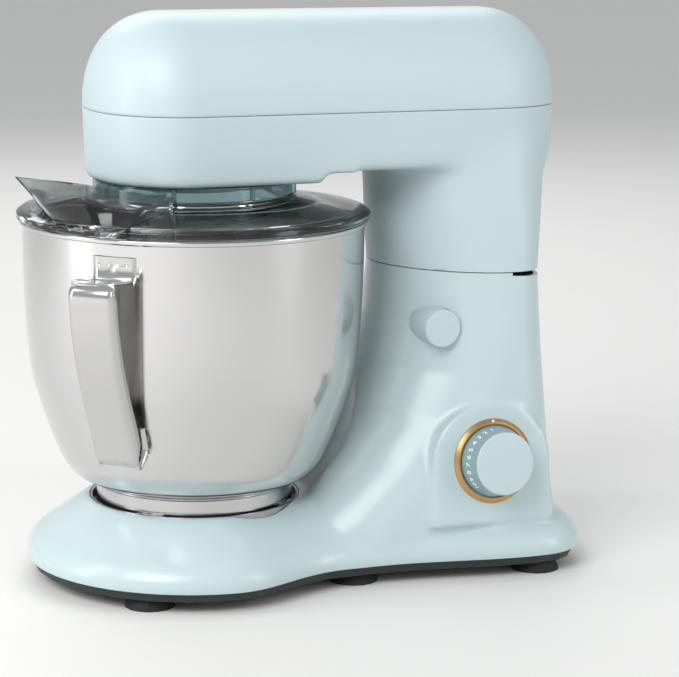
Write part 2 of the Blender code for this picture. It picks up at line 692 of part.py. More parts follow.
def make_guard():
    flange = BOWL_RIM_Z + 3.4 * mm
    top = [(COLLAR_R - 2 * mm, COLLAR_BOTTOM + 2.2 * mm), (COLLAR_R + 1 * mm, COLLAR_BOTTOM + 2.2 * mm)]
    top += [(COLLAR_R + 3 * mm, COLLAR_BOTTOM), (80 * mm, 237.6 * mm), (95 * mm, 234.8 * mm)]
    top += [(GUARD_R - 3 * mm, 233 * mm), (GUARD_R, 231 * mm), (GUARD_R, flange)]
    lip = BOWL_RIM_R - BOWL_WALL - 2.8 * mm
    under = [(lip, flange), (lip, BOWL_RIM_Z - 2 * mm), (lip - GUARD_WALL, BOWL_RIM_Z - 2 * mm)]
    under += [(lip - GUARD_WALL, 231 * mm), (80 * mm, 235.6 * mm),
        (COLLAR_R - 2 * mm, COLLAR_BOTTOM - 1.2 * mm)]
    guard = turned("splash_guard", top + under, "clear", sides=40)
    walls = loft("spout_walls", [spout_ring(share, 0) for share in (0, 1)])
    hollow = loft("spout_hollow", [spout_ring(share, GUARD_WALL) for share in (-0.5, 1.3)])
    cut(join(guard, walls), hollow)
    collar_top = HEAD_BOTTOM - GAP
    low = COLLAR_BOTTOM + 2.2 * mm + GAP
    profile = [(COLLAR_R, low), (COLLAR_R, collar_top), (COLLAR_R - 4 * mm, collar_top)]
    profile += [(COLLAR_R - 4 * mm, collar_top - 1.8 * mm), (COLLAR_R - 2 * mm, collar_top - 1.8 * mm)]
    profile += [(COLLAR_R - 2 * mm, low)]
    collar = turned("guard_collar", profile, "clear_teal", sides=32)
    for i in range(8):
        rib = box(f"collar_rib_{i}", (COLLAR_R - 3.5 * mm, -0.9 * mm, low),
            (COLLAR_R - 1 * mm, 0.9 * mm, collar_top - 0.5 * mm))
        rib.data.transform(Matrix.Rotation(SPOUT_ANGLE + SPOUT_HALF_ANGLE + math.radians(45 * i), 4, "Z"))
        join(collar, rib)
    return [guard, collar]


def spout_ring(share, inset):
    """The pouring spout's outline, from the guard's slope (share 0) to its sloping top edge (share 1)."""
    inner_r, low_r = COLLAR_R + 4 * mm, GUARD_R - 5 * mm
    back = inner_r * math.cos(SPOUT_HALF_ANGLE)
    outline = []
    for i in range(6):
        angle = SPOUT_HALF_ANGLE * (1 - 2 * i / 5)
        point = (inner_r * math.cos(angle), inner_r * math.sin(angle))
        outline.append((point, point))
    for i in range(11):
        t = -1 + i / 5
        low = (low_r * math.cos(SPOUT_LOW_ANGLE * t), low_r * math.sin(SPOUT_LOW_ANGLE * t))
        high_x = SPOUT_REACH - 0.86 * (SPOUT_REACH - back) * abs(t) ** 1.25
        outline.append((low, (high_x, inner_r * math.sin(SPOUT_HALF_ANGLE) * t)))
    rise = (SPOUT_TOP - HEAD_BOTTOM + 1 * mm) / (SPOUT_REACH - SPOUT_CLEAR_R)
    ring = []
    for (x1, y1), (x2, y2) in outline:
        z1 = COLLAR_BOTTOM - 2.7 * mm - 0.19 * (x1 - COLLAR_R)
        z2 = HEAD_BOTTOM - 1 * mm + rise * (x2 - SPOUT_CLEAR_R)
        ring.append(Vector((x1, y1, z1)).lerp(Vector((x2, y2, z2)), share))
    turn = Matrix.Rotation(SPOUT_ANGLE, 3, "Z")
    moved = []
    for i, point in enumerate(ring):
        along = (ring[(i + 1) % len(ring)] - ring[i - 1]).to_2d().normalized()
        moved.append(turn @ (point + inset * Vector((-along.y, along.x, 0))))
    return moved


# Head


def head_ring(z, inset=0.0, draft=0.0):
    return loaf(
        HEAD_FRONT + inset + draft,
        HEAD_REAR - inset,
        HEAD_HALF_WIDTH - inset - draft,
        HEAD_FRONT_CAP - inset,
        HEAD_REAR_CAP - inset,
        2.15,
        2.5,
        z,
    )


def dome_rings(inset, start):
    """The top cover's outline at rising heights, drawing in to its flat crown."""
    rings = []
    height = HEAD_TOP - inset - HEAD_SEAM
    for i in range(7):
        angle = math.radians(86) * i / 6
        rise, shrink = math.sin(angle) ** (2 / 2.3), math.cos(angle) ** (2 / 2.3)
        z = HEAD_SEAM + height * rise
        rings.append(
            loaf(
                HEAD_FRONT + inset + 50 * mm * (1 - shrink),
                HEAD_REAR - inset - 46 * mm * (1 - shrink),
                (HEAD_HALF_WIDTH - inset) * shrink,
                (HEAD_FRONT_CAP - inset) * shrink,
                (HEAD_REAR_CAP - inset) * shrink,
                2.15,
                2.5,
                max(z, start),
            )
        )
    return rings


def make_head_covers():
    top_cover = loft("head_top_cover", dome_rings(0, HEAD_SEAM + GAP / 2), "shell")
    inner = dome_rings(WALL, HEAD_SEAM - 3 * mm)
    inner[0] = [(x, y, HEAD_SEAM - 3 * mm) for x, y, _ in inner[0]]
    cut(top_cover, loft("top_hollow", inner))

    levels = [(HEAD_BOTTOM, 3.5), (HEAD_BOTTOM + 1.2 * mm, 1.2), (HEAD_BOTTOM + 4 * mm, 0)]
    rings = [head_ring(z, inset * mm, HEAD_DRAFT) for z, inset in levels]
    rings.append(head_ring(HEAD_SEAM - GAP / 2))
    lower = loft("head_lower_housing", rings, "shell")
    step = [(HEAD_STEP_X - 6 * mm, 240 * mm), (HEAD_STEP_X + 5 * mm, HEAD_BOTTOM + HEAD_STEP)]
    step += [(270 * mm, HEAD_BOTTOM + HEAD_STEP), (270 * mm, 240 * mm)]
    cut(lower, upright_prism("head_step", step, 100 * mm))
    neck_bottom = SEAM_Z + SEAM_GAP / 2
    join(lower, loft("neck",
        [neck_ring(z, 0) for z in (neck_bottom, 215 * mm, 240 * mm, 262 * mm, 285 * mm)]))
    front_hollow = loft("front_hollow", [front_well(z) for z in (HEAD_BOTTOM + 3.2 * mm, HEAD_SEAM + 5 * mm)])
    floor = HEAD_BOTTOM + HEAD_STEP + WALL
    main_hollow = loft("main_hollow", [head_ring(z, WALL, HEAD_DRAFT) for z in (floor, HEAD_SEAM + 5 * mm)])
    neck_hollow = loft("neck_hollow",
        [neck_ring(z, WALL) for z in (SEAM_Z - 3 * mm, 215 * mm, 240 * mm, 270 * mm)])
    hub_bore = cylinder("hub_bore", HUB_R + 2 * mm, 240 * mm, 262 * mm, sides=48)
    cut(lower, front_hollow, main_hollow, neck_hollow, hub_bore)
    return [top_cover, lower]


def front_well(z):
    inset = WALL + HEAD_DRAFT
    return loaf(
        HEAD_FRONT + inset, HEAD_STEP_X - 4 * mm, HEAD_HALF_WIDTH - inset, HEAD_FRONT_CAP - inset, 25 * mm, 2.15, 3, z
    )


def neck_ring(z, inset):
    """The neck widens downwards, from inside the head's sides to the column's outline at the tilt seam."""
    share = min(max((z - SEAM_Z) / (285 * mm - SEAM_Z), 0), 1)
    sag = share**1.3
    return loaf(
        COLUMN_FRONT - 3 * mm * share + inset,
        COLUMN_REAR + (HEAD_REAR - 4 * mm - COLUMN_REAR) * share - inset,
        COLUMN_HALF_WIDTH + (HEAD_HALF_WIDTH - 3.5 * mm - COLUMN_HALF_WIDTH) * sag - inset,
        COLUMN_FRONT_CAP - inset,
        COLUMN_REAR_CAP + (HEAD_REAR_CAP - 6 * mm - COLUMN_REAR_CAP) * share - inset,
        COLUMN_FRONT_POWER + 0.5 * share,
        COLUMN_REAR_POWER,
        z,
    )


def upright_prism(name, outline, half_width, material=None, at_y=0.0):
    """A prism across the mixer whose outline is drawn in X and Z."""
    prism = flat(name, [outline], -half_width, half_width, material)
    prism.data.transform(Matrix.Translation((0, at_y, 0)) @ Matrix.Rotation(math.pi / 2, 4, "X"))
    return prism


def make_head_fittings():
    bracket = box(
        "hinge_bracket_upper", (185 * mm, -18 * mm, 214 * mm), (219 * mm, 18 * mm, 217 * mm), "dark_steel"
    )
    for side in (-1, 1):
        low, high = sorted((side * 13 * mm, side * 18 * mm))
        ear = box(f"upper_ear_{side}", (PIN_X - 12 * mm, low, SEAM_Z), (PIN_X + 2.5 * mm, high, 216 * mm))
        knuckle = cylinder(f"upper_knuckle_{side}", 4.8 * mm, low, high, axis="y", at=(PIN_X, 0, SEAM_Z),
            sides=20)
        join(bracket, ear, knuckle)
    cut(bracket, cylinder("upper_pin_bore", PIN_R + 0.1 * mm, -30 * mm, 30 * mm, axis="y",
        at=(PIN_X, 0, SEAM_Z), sides=20))
    striker = box("latch_striker", (128 * mm, -3 * mm, 178 * mm), (134 * mm, 3 * mm, 210 * mm), "dark_steel")
    join(striker, box("striker_foot", (125.3 * mm, -6 * mm, 200 * mm), (130 * mm, 6 * mm, 212 * mm)))
    return [bracket, striker]


# Drive train, inside the head

CASE_TOP = 284 * mm
GEAR_LOW = 286 * mm
GEAR_HIGH = 293.5 * mm
PLANET_LOW = 270 * mm
PLANET_HIGH = 280 * mm
SHAFT_GAP = 0.3 * mm
LAYSHAFT_Y = WHEEL_R + WORM_R
DRIVE_CENTRES = DRIVE_MODULE * (PINION_TEETH + DRIVE_TEETH) / 2
LAYSHAFT_X = math.sqrt(DRIVE_CENTRES**2 - LAYSHAFT_Y**2)


def gearbox_ring(inset, z):
    return loaf(-54 * mm + inset, 58 * mm - inset, 54 * mm - inset, 40 * mm, 30 * mm, 2.6, 4, z)


def make_gearbox():
    plate = 3 * mm
    skirt_r = HUB_R + 8 * mm
    case = loft("gearbox_case", [gearbox_ring(0, z) for z in (CASE_TOP - plate, CASE_TOP)], "cast_alloy")
    profile = [(HUB_R + 3.5 * mm, 255.5 * mm), (skirt_r - 1 * mm, 255.5 * mm),
        (skirt_r - 1 * mm, CASE_TOP - 1 * mm)]
    profile += [(HUB_R + 3.5 * mm, CASE_TOP - 1 * mm)]
    join(case, turned("case_skirt", profile, sides=32))
    cut(case, cylinder("bearing_seat", 11.3 * mm, 270 * mm, 290 * mm, sides=24))
    cover = loft("gearbox_cover", [gearbox_ring(0, z) for z in (CASE_TOP + GAP, 313 * mm)], "cast_alloy")
    hollow = loft("cover_hollow", [gearbox_ring(2.5 * mm, z) for z in (CASE_TOP - 2 * mm, 310.5 * mm)])
    shaft_hole = cylinder("cover_shaft_hole", 5 * mm, 40 * mm, 70 * mm, axis="x", at=(0, 0, MOTOR_Z),
        sides=20)
    cut(cover, hollow, shaft_hole)
    bearing_profile = [(SHAFT_R + 0.1 * mm, 281.2 * mm), (11 * mm, 281.2 * mm), (11 * mm, CASE_TOP)]
    bearing_profile += [(SHAFT_R + 0.1 * mm, CASE_TOP)]
    bearing = turned("drive_shaft_bearing", bearing_profile, "dark_steel", sides=24)
    root, tip = RING_TEETH * GEAR_MODULE / 2 + 1.1 * GEAR_MODULE, RING_TEETH * GEAR_MODULE / 2 - 0.8 * GEAR_MODULE
    # the planet lies towards the front, where a gap between two of the ring's teeth has to face it
    turn = math.pi + math.pi / RING_TEETH
    outlines = [circle(root + 4 * mm, 40), toothed(RING_TEETH, root, tip)]
    ring = flat("planet_ring_gear", outlines, PLANET_LOW, CASE_TOP - plate - GAP, "dark_steel", turn=turn)
    return [case, cover, bearing, ring]


def make_motor():
    motor_wall, bore = 3 * mm, 4.3 * mm
    profile = [(bore, MOTOR_FRONT), (MOTOR_R, MOTOR_FRONT), (MOTOR_R, MOTOR_REAR), (bore, MOTOR_REAR)]
    profile += [(bore, MOTOR_REAR - motor_wall), (MOTOR_R - motor_wall, MOTOR_REAR - motor_wall)]
    profile += [(MOTOR_R - motor_wall, MOTOR_FRONT + motor_wall), (bore, MOTOR_FRONT + motor_wall)]
    line = (0, 0, MOTOR_Z)
    housing = turned("motor_housing", profile, "dark_steel", "x", line, 28)
    core = [(22.8 * mm, 85 * mm), (MOTOR_R - motor_wall - GAP, 85 * mm)]
    core += [(MOTOR_R - motor_wall - GAP, 140 * mm), (22.8 * mm, 140 * mm)]
    stator = turned("stator_core", core, "cast_alloy", "x", line, 32)
    pieces = [housing, stator]
    for side, word in ((-1, "near"), (1, "far")):
        low, high = sorted((side * 11.6 * mm, side * 30 * mm))
        pieces.append(
            box(f"brush_holder_{word}", (147 * mm, low, MOTOR_Z - 4 * mm),
                (155 * mm, high, MOTOR_Z + 4 * mm), "brass")
        )
    mount = box("motor_mount", (72 * mm, -27 * mm, 261.1 * mm), (117 * mm, 27 * mm, 284 * mm), "cast_alloy")
    cut(mount, cylinder("mount_saddle", MOTOR_R + GAP, 60 * mm, 130 * mm, axis="x", at=line, sides=40))
    pieces.append(mount)
    return pieces


def make_rotor():
    line = (0, 0, MOTOR_Z)
    radius = 3.5 * mm
    shaft = cylinder("motor_shaft", radius, 12 * mm, 182 * mm, "dark_steel", "x", line, 16)
    inner = radius + SHAFT_GAP
    ring = [(inner, 85 * mm), (22 * mm, 85 * mm), (22 * mm, 140 * mm), (inner, 140 * mm)]
    armature = turned("armature", ring, "copper", "x", line, 24)
    ring = [(inner, 145 * mm), (11 * mm, 145 * mm), (11 * mm, 157 * mm), (inner, 157 * mm)]
    commutator = turned("commutator", ring, "brass", "x", line, 24)
    fan = flat(
        "cooling_fan", [toothed(9, 12 * mm, 30 * mm),
            circle(inner, 16)], 168.5 * mm, 177 * mm, "nylon", "x", line
    )
    return [shaft, armature, commutator, fan, make_worm(line, inner)]


def make_worm(line, bore):
    """The worm's lobed section turns steadily along its length, one lead to each turn."""
    rings = []
    steps, points = 16, 16
    start, length = 20 * mm, 21 * mm
    lead = 2 * math.pi * WHEEL_R * WORM_STARTS / WHEEL_TEETH
    for step in range(steps + 1):
        along = length * step / steps
        twist = 2 * math.pi * along / lead
        ring = []
        for i in range(points):
            angle = 2 * math.pi * i / points + twist
            radius = WORM_R - 0.9 * mm + 0.75 * mm * math.cos(WORM_STARTS * (angle - twist))
            ring.append((start + along, radius * math.cos(angle), MOTOR_Z + radius * math.sin(angle)))
        rings.append(ring)
    worm = loft("worm", rings, "dark_steel")
    return cut(worm, cylinder("worm_bore", bore, 0, 60 * mm, axis="x", at=line, sides=16))


def make_layshaft():
    at = (LAYSHAFT_X, LAYSHAFT_Y, 0)
    radius = 3 * mm
    bore = circle(radius + SHAFT_GAP, 16)
    to_drive = math.atan2(LAYSHAFT_Y, LAYSHAFT_X)
    shaft = cylinder("layshaft", radius, CASE_TOP + 0.5 * mm, 309.5 * mm, "dark_steel", at=at, sides=16)
    pitch = PINION_TEETH * DRIVE_MODULE / 2
    outline = toothed(PINION_TEETH, pitch - 1.1 * DRIVE_MODULE, pitch + 0.8 * DRIVE_MODULE)
    # one of the pinion's gaps faces the drive gear
    turn = to_drive + math.pi + math.pi / PINION_TEETH
    pinion = flat("pinion", [outline, bore], GEAR_LOW, GEAR_HIGH, "dark_steel", at=at, turn=turn)
    outline = toothed(WHEEL_TEETH, WHEEL_R - 1.8 * mm, WHEEL_R - 0.3 * mm)
    wheel = flat("worm_wheel", [outline, bore], 296 * mm, 306 * mm, "nylon", at=at)
    return [shaft, pinion, wheel]


def make_hub():
    profile = [(0, 246 * mm), (36 * mm, 246 * mm), (HUB_R - 2 * mm, 248 * mm), (HUB_R, 251 * mm)]
    profile += [(HUB_R, 266 * mm), (0, 266 * mm)]
    hub = turned("planetary_hub", profile, "cast_alloy", sides=32)
    shaft_hole = cylinder("hub_shaft_hole", SHAFT_R + SHAFT_GAP, 255 * mm, 280 * mm, sides=24)
    planet_hole = cylinder(
        "hub_planet_hole", BEATER_SHAFT_R + SHAFT_GAP, 240 * mm, 280 * mm, at=(-PLANET_OFFSET, 0, 0), sides=24
    )
    cut(hub, shaft_hole, planet_hole)
    shaft = cylinder("drive_shaft", SHAFT_R, 255.3 * mm, 294 * mm, "dark_steel", sides=24)
    pitch = DRIVE_TEETH * DRIVE_MODULE / 2
    outline = toothed(DRIVE_TEETH, pitch - 1.1 * DRIVE_MODULE, pitch + 0.8 * DRIVE_MODULE)
    turn = math.atan2(LAYSHAFT_Y, LAYSHAFT_X)
    gear = flat("drive_gear", [outline, circle(SHAFT_R + SHAFT_GAP, 24)], GEAR_LOW, GEAR_HIGH, "nylon",
        turn=turn)
    return [hub, shaft, gear]


BEATER_SHAFT_R = 4.3 * mm


def make_beater():
    at = (-PLANET_OFFSET, 0, 0)
    shaft = cylinder("beater_shaft", BEATER_SHAFT_R, 206 * mm, PLANET_HIGH, "steel", at=at, sides=20)
    cross_pin = cylinder("beater_cross_pin", 1.5 * mm, -8 * mm, 8 * mm, axis="y", at=(at[0], 0, 236 * mm),
        sides=12)
    join(shaft, cross_pin)
    pitch = PLANET_TEETH * GEAR_MODULE / 2
    outline = toothed(PLANET_TEETH, pitch - 1.1 * GEAR_MODULE, pitch + 0.8 * GEAR_MODULE)
    planet = flat(
        "planet_gear",
        [outline, circle(BEATER_SHAFT_R + SHAFT_GAP, 20)],
        PLANET_LOW,
        PLANET_HIGH,
        "dark_steel",
        at=at,
        turn=math.pi,
    )
    outer = [(0, 80.5), (24, 81.5), (37.5, 91), (49, 113), (56, 142), (52, 168), (36, 190), (14, 202), (9, 206)]
    outline = [(x * mm, z * mm) for x, z in outer] + [(9 * mm, 232 * mm)]
    outline += [(-x, z) for x, z in outline[:0:-1]]
    window = [(5, 88), (22, 88), (33, 97), (41, 118), (44, 142), (41, 160), (30, 176), (5, 188)]
    windows = [[(side * x * mm, z * mm) for x, z in window] for side in (-1, 1)]
    beater = upright_prism_with_windows("flat_beater", outline, windows, 4.5 * mm)
    sleeve = cylinder("beater_sleeve", 9.5 * mm, 200 * mm, 232 * mm, sides=24)
    join(beater, sleeve)
    cut(beater, cylinder("sleeve_bore", BEATER_SHAFT_R + SHAFT_GAP, 205 * mm, 240 * mm, sides=20))
    for obj in (beater, sleeve, bpy.data.objects["sleeve_bore"]):
        obj.data.transform(Matrix.Translation(at))
    return [shaft, planet, beater]


def upright_prism_with_windows(name, outline, windows, half):
    prism = flat(name, [outline] + windows, -half, half, "cast_alloy")
    prism.data.transform(Matrix.Rotation(math.pi / 2, 4, "X"))
    return prism


# Button and knob


def make_button():
    face = BUTTON_FACE_Y
    profile = [(0, face), (BUTTON_R - 1.2 * mm, face), (BUTTON_R, face + 1.2 * mm),
        (BUTTON_R, face + 26 * mm)]
    profile += [(BUTTON_R - 2 * mm, face + 26 * mm), (BUTTON_R - 2 * mm, face + 2.5 * mm)]
    profile += [(4 * mm, face + 2.5 * mm), (4 * mm, -22 * mm), (0, -22 * mm)]
    button = turned("release_button", profile, "shell", "y", (BUTTON_X, 0, BUTTON_Z), 32)
    bar = box("latch_bar", (136 * mm, -21.7 * mm, 153 * mm), (148 * mm, 12 * mm, 163 * mm), "dark_steel")
    hook = box("latch_hook", (127.5 * mm, 3.5 * mm, 157 * mm), (140 * mm, 9.5 * mm, 182 * mm))
    join(bar, hook)
    guide = box("latch_guide", (132.8 * mm, -32 * mm, 146 * mm), (156 * mm, -29.5 * mm, 174 * mm),
        "dark_steel")
    cut(guide, cylinder("guide_bore", 4.4 * mm, -40 * mm, -20 * mm, axis="y", at=(BUTTON_X, 0, BUTTON_Z),
        sides=20))
    return [button, bar], guide, make_spring()


def make_spring():
    """The button's return spring, a coil round its stem."""
    turns, per_turn, radius = 4, 8, 7 * mm
    start, end = -61 * mm, -33 * mm
    curve = bpy.data.curves.new("latch_spring", "CURVE")
    curve.dimensions = "3D"
    curve.bevel_depth = 0.7 * mm
    curve.bevel_resolution = 1
    curve.use_fill_caps = True
    spline = curve.splines.new("POLY")
    count = turns * per_turn + 1
    spline.points.add(count - 1)
    for i, point in enumerate(spline.points):
        angle = 2 * math.pi * i / per_turn
        y = start + (end - start) * i / (count - 1)
        point.co = (BUTTON_X + radius * math.cos(angle), y, BUTTON_Z + radius * math.sin(angle), 1)
    spring = bpy.data.objects.new("latch_spring", curve)
    curve.materials.append(finish("steel"))
    PARTS.objects.link(spring)
    return spring


def make_knob():
    face, rim = KNOB_HEIGHT, KNOB_R
    profile = [(0, face), (KNOB_FACE_R - 0.8 * mm, face), (KNOB_FACE_R, face - 0.8 * mm), (rim, 1.6 * mm)]
    profile += [(rim, 0.6 * mm), (rim - 2.2 * mm, 0.6 * mm), (KNOB_FACE_R - 2.4 * mm, face - 2.4 * mm)]
    profile += [(6 * mm, face - 2.4 * mm), (6 * mm, 3 * mm), (3.3 * mm, 3 * mm), (3.3 * mm, 14.5 * mm)]
    profile += [(0, 14.5 * mm)]
    knob = turned("speed_knob", profile, "shell", sides=32)
    knob.matrix_world = knob_frame()
    shaft = cylinder("knob_shaft", 3 * mm, -13 * mm, 14.2 * mm, "dark_steel", sides=16)
    shaft.data.transform(knob_frame())
    return [knob, shaft]


# Assembly: an empty on each joint's axis carries the pieces that move with it


def assemble():
    mixer = bpy.data.objects.new("mixer", None)
    PARTS.objects.link(mixer)
    button_pieces, guide, spring = make_button()
    bodies = {
        "base": ((0, 0, 0), make_base() + [guide]),
        "head": ((PIN_X, 0, SEAM_Z),
            make_head_covers() + make_head_fittings() + make_gearbox() + make_motor()),
        "bowl": ((0, 0, SEAT_FLOOR), make_bowl()),
        "guard": ((0, 0, COLLAR_BOTTOM), make_guard()),
        "hub": ((0, 0, 250 * mm), make_hub()),
        "beater": ((-PLANET_OFFSET, 0, 250 * mm), make_beater()),
        "reduction": ((LAYSHAFT_X, LAYSHAFT_Y, 290 * mm), make_layshaft()),
        "rotor": ((MOTOR_FRONT, 0, MOTOR_Z), make_rotor()),
        "button": ((BUTTON_X, BUTTON_FACE_Y, BUTTON_Z), button_pieces + [spring]),
        "knob": (tuple(knob_frame().translation), make_knob()),
    }
    for body, (centre, pieces) in bodies.items():
        axis = bpy.data.objects.new(body + "_axis", None)
        PARTS.objects.link(axis)
        axis.parent = mixer
        axis.location = centre
        for piece in pieces:
            piece.parent = axis
            piece.location = piece.location - Vector(centre)
    mixer.location = (BOWL_X, 0, 0)
    # the cutters stand where the pieces that they shape do
    for cutter in CUTTERS.objects:
        cutter.location.x += BOWL_X


assemble()
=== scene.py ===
# %% [markdown]
# # A tilt-head stand mixer
#
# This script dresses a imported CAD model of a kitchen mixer. The CAD model is the fixed frame: its bodies
# carry every piece made here, so the head still tilts and the beater still turns. Lengths below are in
# millimetres, measured from the bowl's upright axis and from the table, because that is how a maker would
# draw the mixer.

# %% Load the frame
import math

import bmesh
import bpy
from mathutils import Matrix, Vector


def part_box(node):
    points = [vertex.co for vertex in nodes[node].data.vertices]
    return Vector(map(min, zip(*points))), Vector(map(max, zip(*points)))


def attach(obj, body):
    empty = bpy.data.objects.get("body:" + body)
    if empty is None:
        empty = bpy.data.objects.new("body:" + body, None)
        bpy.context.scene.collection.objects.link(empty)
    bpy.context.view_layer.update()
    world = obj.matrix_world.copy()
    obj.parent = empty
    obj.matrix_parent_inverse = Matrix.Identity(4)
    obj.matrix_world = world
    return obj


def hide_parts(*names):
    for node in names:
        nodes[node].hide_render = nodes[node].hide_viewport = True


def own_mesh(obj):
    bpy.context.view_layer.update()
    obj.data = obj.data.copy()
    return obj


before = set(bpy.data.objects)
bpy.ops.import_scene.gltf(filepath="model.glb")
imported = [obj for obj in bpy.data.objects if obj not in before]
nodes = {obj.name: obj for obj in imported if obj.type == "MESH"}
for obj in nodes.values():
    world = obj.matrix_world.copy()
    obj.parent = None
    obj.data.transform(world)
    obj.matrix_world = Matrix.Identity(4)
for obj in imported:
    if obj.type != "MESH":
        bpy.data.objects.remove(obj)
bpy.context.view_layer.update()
bowl_low, bowl_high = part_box("bowl_shell")
bowl_axis_x = (bowl_low[0] + bowl_high[0]) / 2
HOME = Matrix.Translation((bowl_axis_x, 0, 0)) @ Matrix.Scale(0.001, 4)

# %% [markdown]
# ## Helpers
#
# Most shells here are lofts: level outlines joined upwards. A learner could draw each outline as a curve
# and bridge them by hand. Doing it with bridge_loops keeps every outline adjustable. Round pieces are
# profiles spun about an axis.


# %% Make a piece from a bmesh
def piece(name, bm, body, material, replaced=(), smooth_angle=40):
    """Ends a piece: faces point outwards, sizes become metres, and the piece rides on its body."""
    bmesh.ops.remove_doubles(bm, verts=bm.verts, dist=0.002)
    bmesh.ops.recalc_face_normals(bm, faces=bm.faces)
    bm.transform(HOME)
    mesh = bpy.data.meshes.new(name)
    bm.to_mesh(mesh)
    bm.free()
    made = bpy.data.objects.new(name, mesh)
    bpy.context.scene.collection.objects.link(made)
    mesh.materials.append(material)
    mesh.shade_smooth()
    mesh.set_sharp_from_angle(angle=math.radians(smooth_angle))
    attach(made, body)
    if replaced:
        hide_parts(*replaced)
    return made


def finished(made):
    """Applies the piece's modifiers."""
    bpy.context.view_layer.update()
    shape = bpy.data.meshes.new_from_object(made.evaluated_get(bpy.context.evaluated_depsgraph_get()))
    made.modifiers.clear()
    old, made.data = made.data, shape
    bpy.data.meshes.remove(old)
    print(made.name, len(made.data.polygons), "faces")
    return made


# %% Lofts, turned shapes and prisms
def skin(rings, caps=True):
    """Bridges level outlines of equally many points, in order, and closes both ends."""
    bm = bmesh.new()
    loops = []
    for ring in rings:
        verts = [bm.verts.new(point) for point in ring]
        loops.append([bm.edges.new((a, b)) for a, b in zip(verts, verts[1:] + verts[:1])])
    for lower, upper in zip(loops, loops[1:]):
        bmesh.ops.bridge_loops(bm, edges=lower + upper)
    if caps:
        for loop in (loops[0], loops[-1]):
            bmesh.ops.contextual_create(bm, geom=loop)
    return bm


def turned(profile, closed=True, steps=96):
    """Spins a profile of (radius, height, corner rounding) about the upright axis."""
    points = rounded(profile, closed)
    bm = bmesh.new()
    verts = [bm.verts.new((r, 0, z)) for r, z in points]
    edges = [bm.edges.new((a, b)) for a, b in zip(verts, verts[1:])]
    if closed:
        edges.append(bm.edges.new((verts[-1], verts[0])))
    bmesh.ops.spin(bm, geom=verts + edges, cent=(0, 0, 0), axis=(0, 0, 1), angle=2 * math.pi, steps=steps,
        use_merge=True)
    bmesh.ops.remove_doubles(bm, verts=bm.verts, dist=0.002)
    bmesh.ops.recalc_face_normals(bm, faces=bm.faces)
    return bm


def rounded(profile, closed):
    """The profile's corners, each turned into an arc of its rounding."""
    points = []
    count = len(profile)
    for i, corner in enumerate(profile):
        here = Vector(corner[:2])
        rounding = corner[2] if len(corner) > 2 else 0
        if not rounding or (not closed and i in (0, count - 1)):
            points.append(tuple(here))
            continue
        to_last = (Vector(profile[i - 1][:2]) - here).normalized()
        to_next = (Vector(profile[(i + 1) % count][:2]) - here).normalized()
        half = to_last.angle(to_next) / 2
        reach = rounding / math.tan(half)
        start, end = here + to_last * reach, here + to_next * reach
        centre = here + (to_last + to_next).normalized() * rounding / math.sin(half)
        for k in range(7):
            spoke = (start - centre).lerp(end - centre, k / 6).normalized()
            points.append(tuple(centre + spoke * rounding))
    return points


def prism(outline, low, high):
    """A flat outline pushed up from one height to another."""
    bm = bmesh.new()
    face = bmesh.ops.contextual_create(bm, geom=[bm.verts.new((x, y, low)) for x, y in outline])["faces"]
    pushed = bmesh.ops.extrude_face_region(bm, geom=face)["geom"]
    bmesh.ops.translate(bm, vec=(0, 0, high - low),
        verts=[v for v in pushed if isinstance(v, bmesh.types.BMVert)])
    bmesh.ops.recalc_face_normals(bm, faces=bm.faces)
    return bm


def disc(radius, depth, segments, place):
    """A closed cylinder, centred on its place and standing along its upright axis."""
    bm = bmesh.new()
    bmesh.ops.create_cone(
        bm, cap_ends=True, segments=segments, radius1=radius, radius2=radius, depth=depth, matrix=place
    )
    return bm


def as_cutter(bm, place=HOME):
    """A helper object for a Boolean, which is thrown away after its cut."""
    bmesh.ops.recalc_face_normals(bm, faces=bm.faces)
    bm.transform(place)
    mesh = bpy.data.meshes.new("cutter")
    bm.to_mesh(mesh)
    bm.free()
    cutter = bpy.data.objects.new("cutter", mesh)
    bpy.context.scene.collection.objects.link(cutter)
    return cutter


def carve(made, *cutters, operation="DIFFERENCE"):
    """Cuts the cutters out of a piece, or joins them to it, and removes them."""
    for cutter in cutters:
        boolean = made.modifiers.new("carve", "BOOLEAN")
        boolean.operation = operation
        boolean.object = cutter
        boolean.solver = "EXACT"
    finished(made)
    for cutter in cutters:
        bpy.data.objects.remove(cutter)
    return made


# %% [markdown]
# ## Finishes
#
# Each finish is named for the real material and how its surface was made, except the darker skirt finish,
# which is the shell's ABS darkened as painted shade. Colours are written as the hex values that a paint
# chart would give, and one function turns them into the linear values that the shader needs.


# %% Colour and node functions
def linear(hex_colour, alpha=1.0):
    channels = [int(hex_colour[i : i + 2], 16) / 255 for i in (1, 3, 5)]
    return (*[c / 12.92 if c < 0.04045 else ((c + 0.055) / 1.055) ** 2.4 for c in channels], alpha)


def node(tree, kind, settings=(), links=()):
    """Adds one node: settings go to its properties or input values, and links join (output, input name)."""
    made = tree.nodes.new(kind)
    for key, value in dict(settings).items():
        if key in made.inputs:
            made.inputs[key].default_value = value
        else:
            setattr(made, key, value)
    for source, key in links:
        tree.links.new(source, made.inputs[key])
    return made


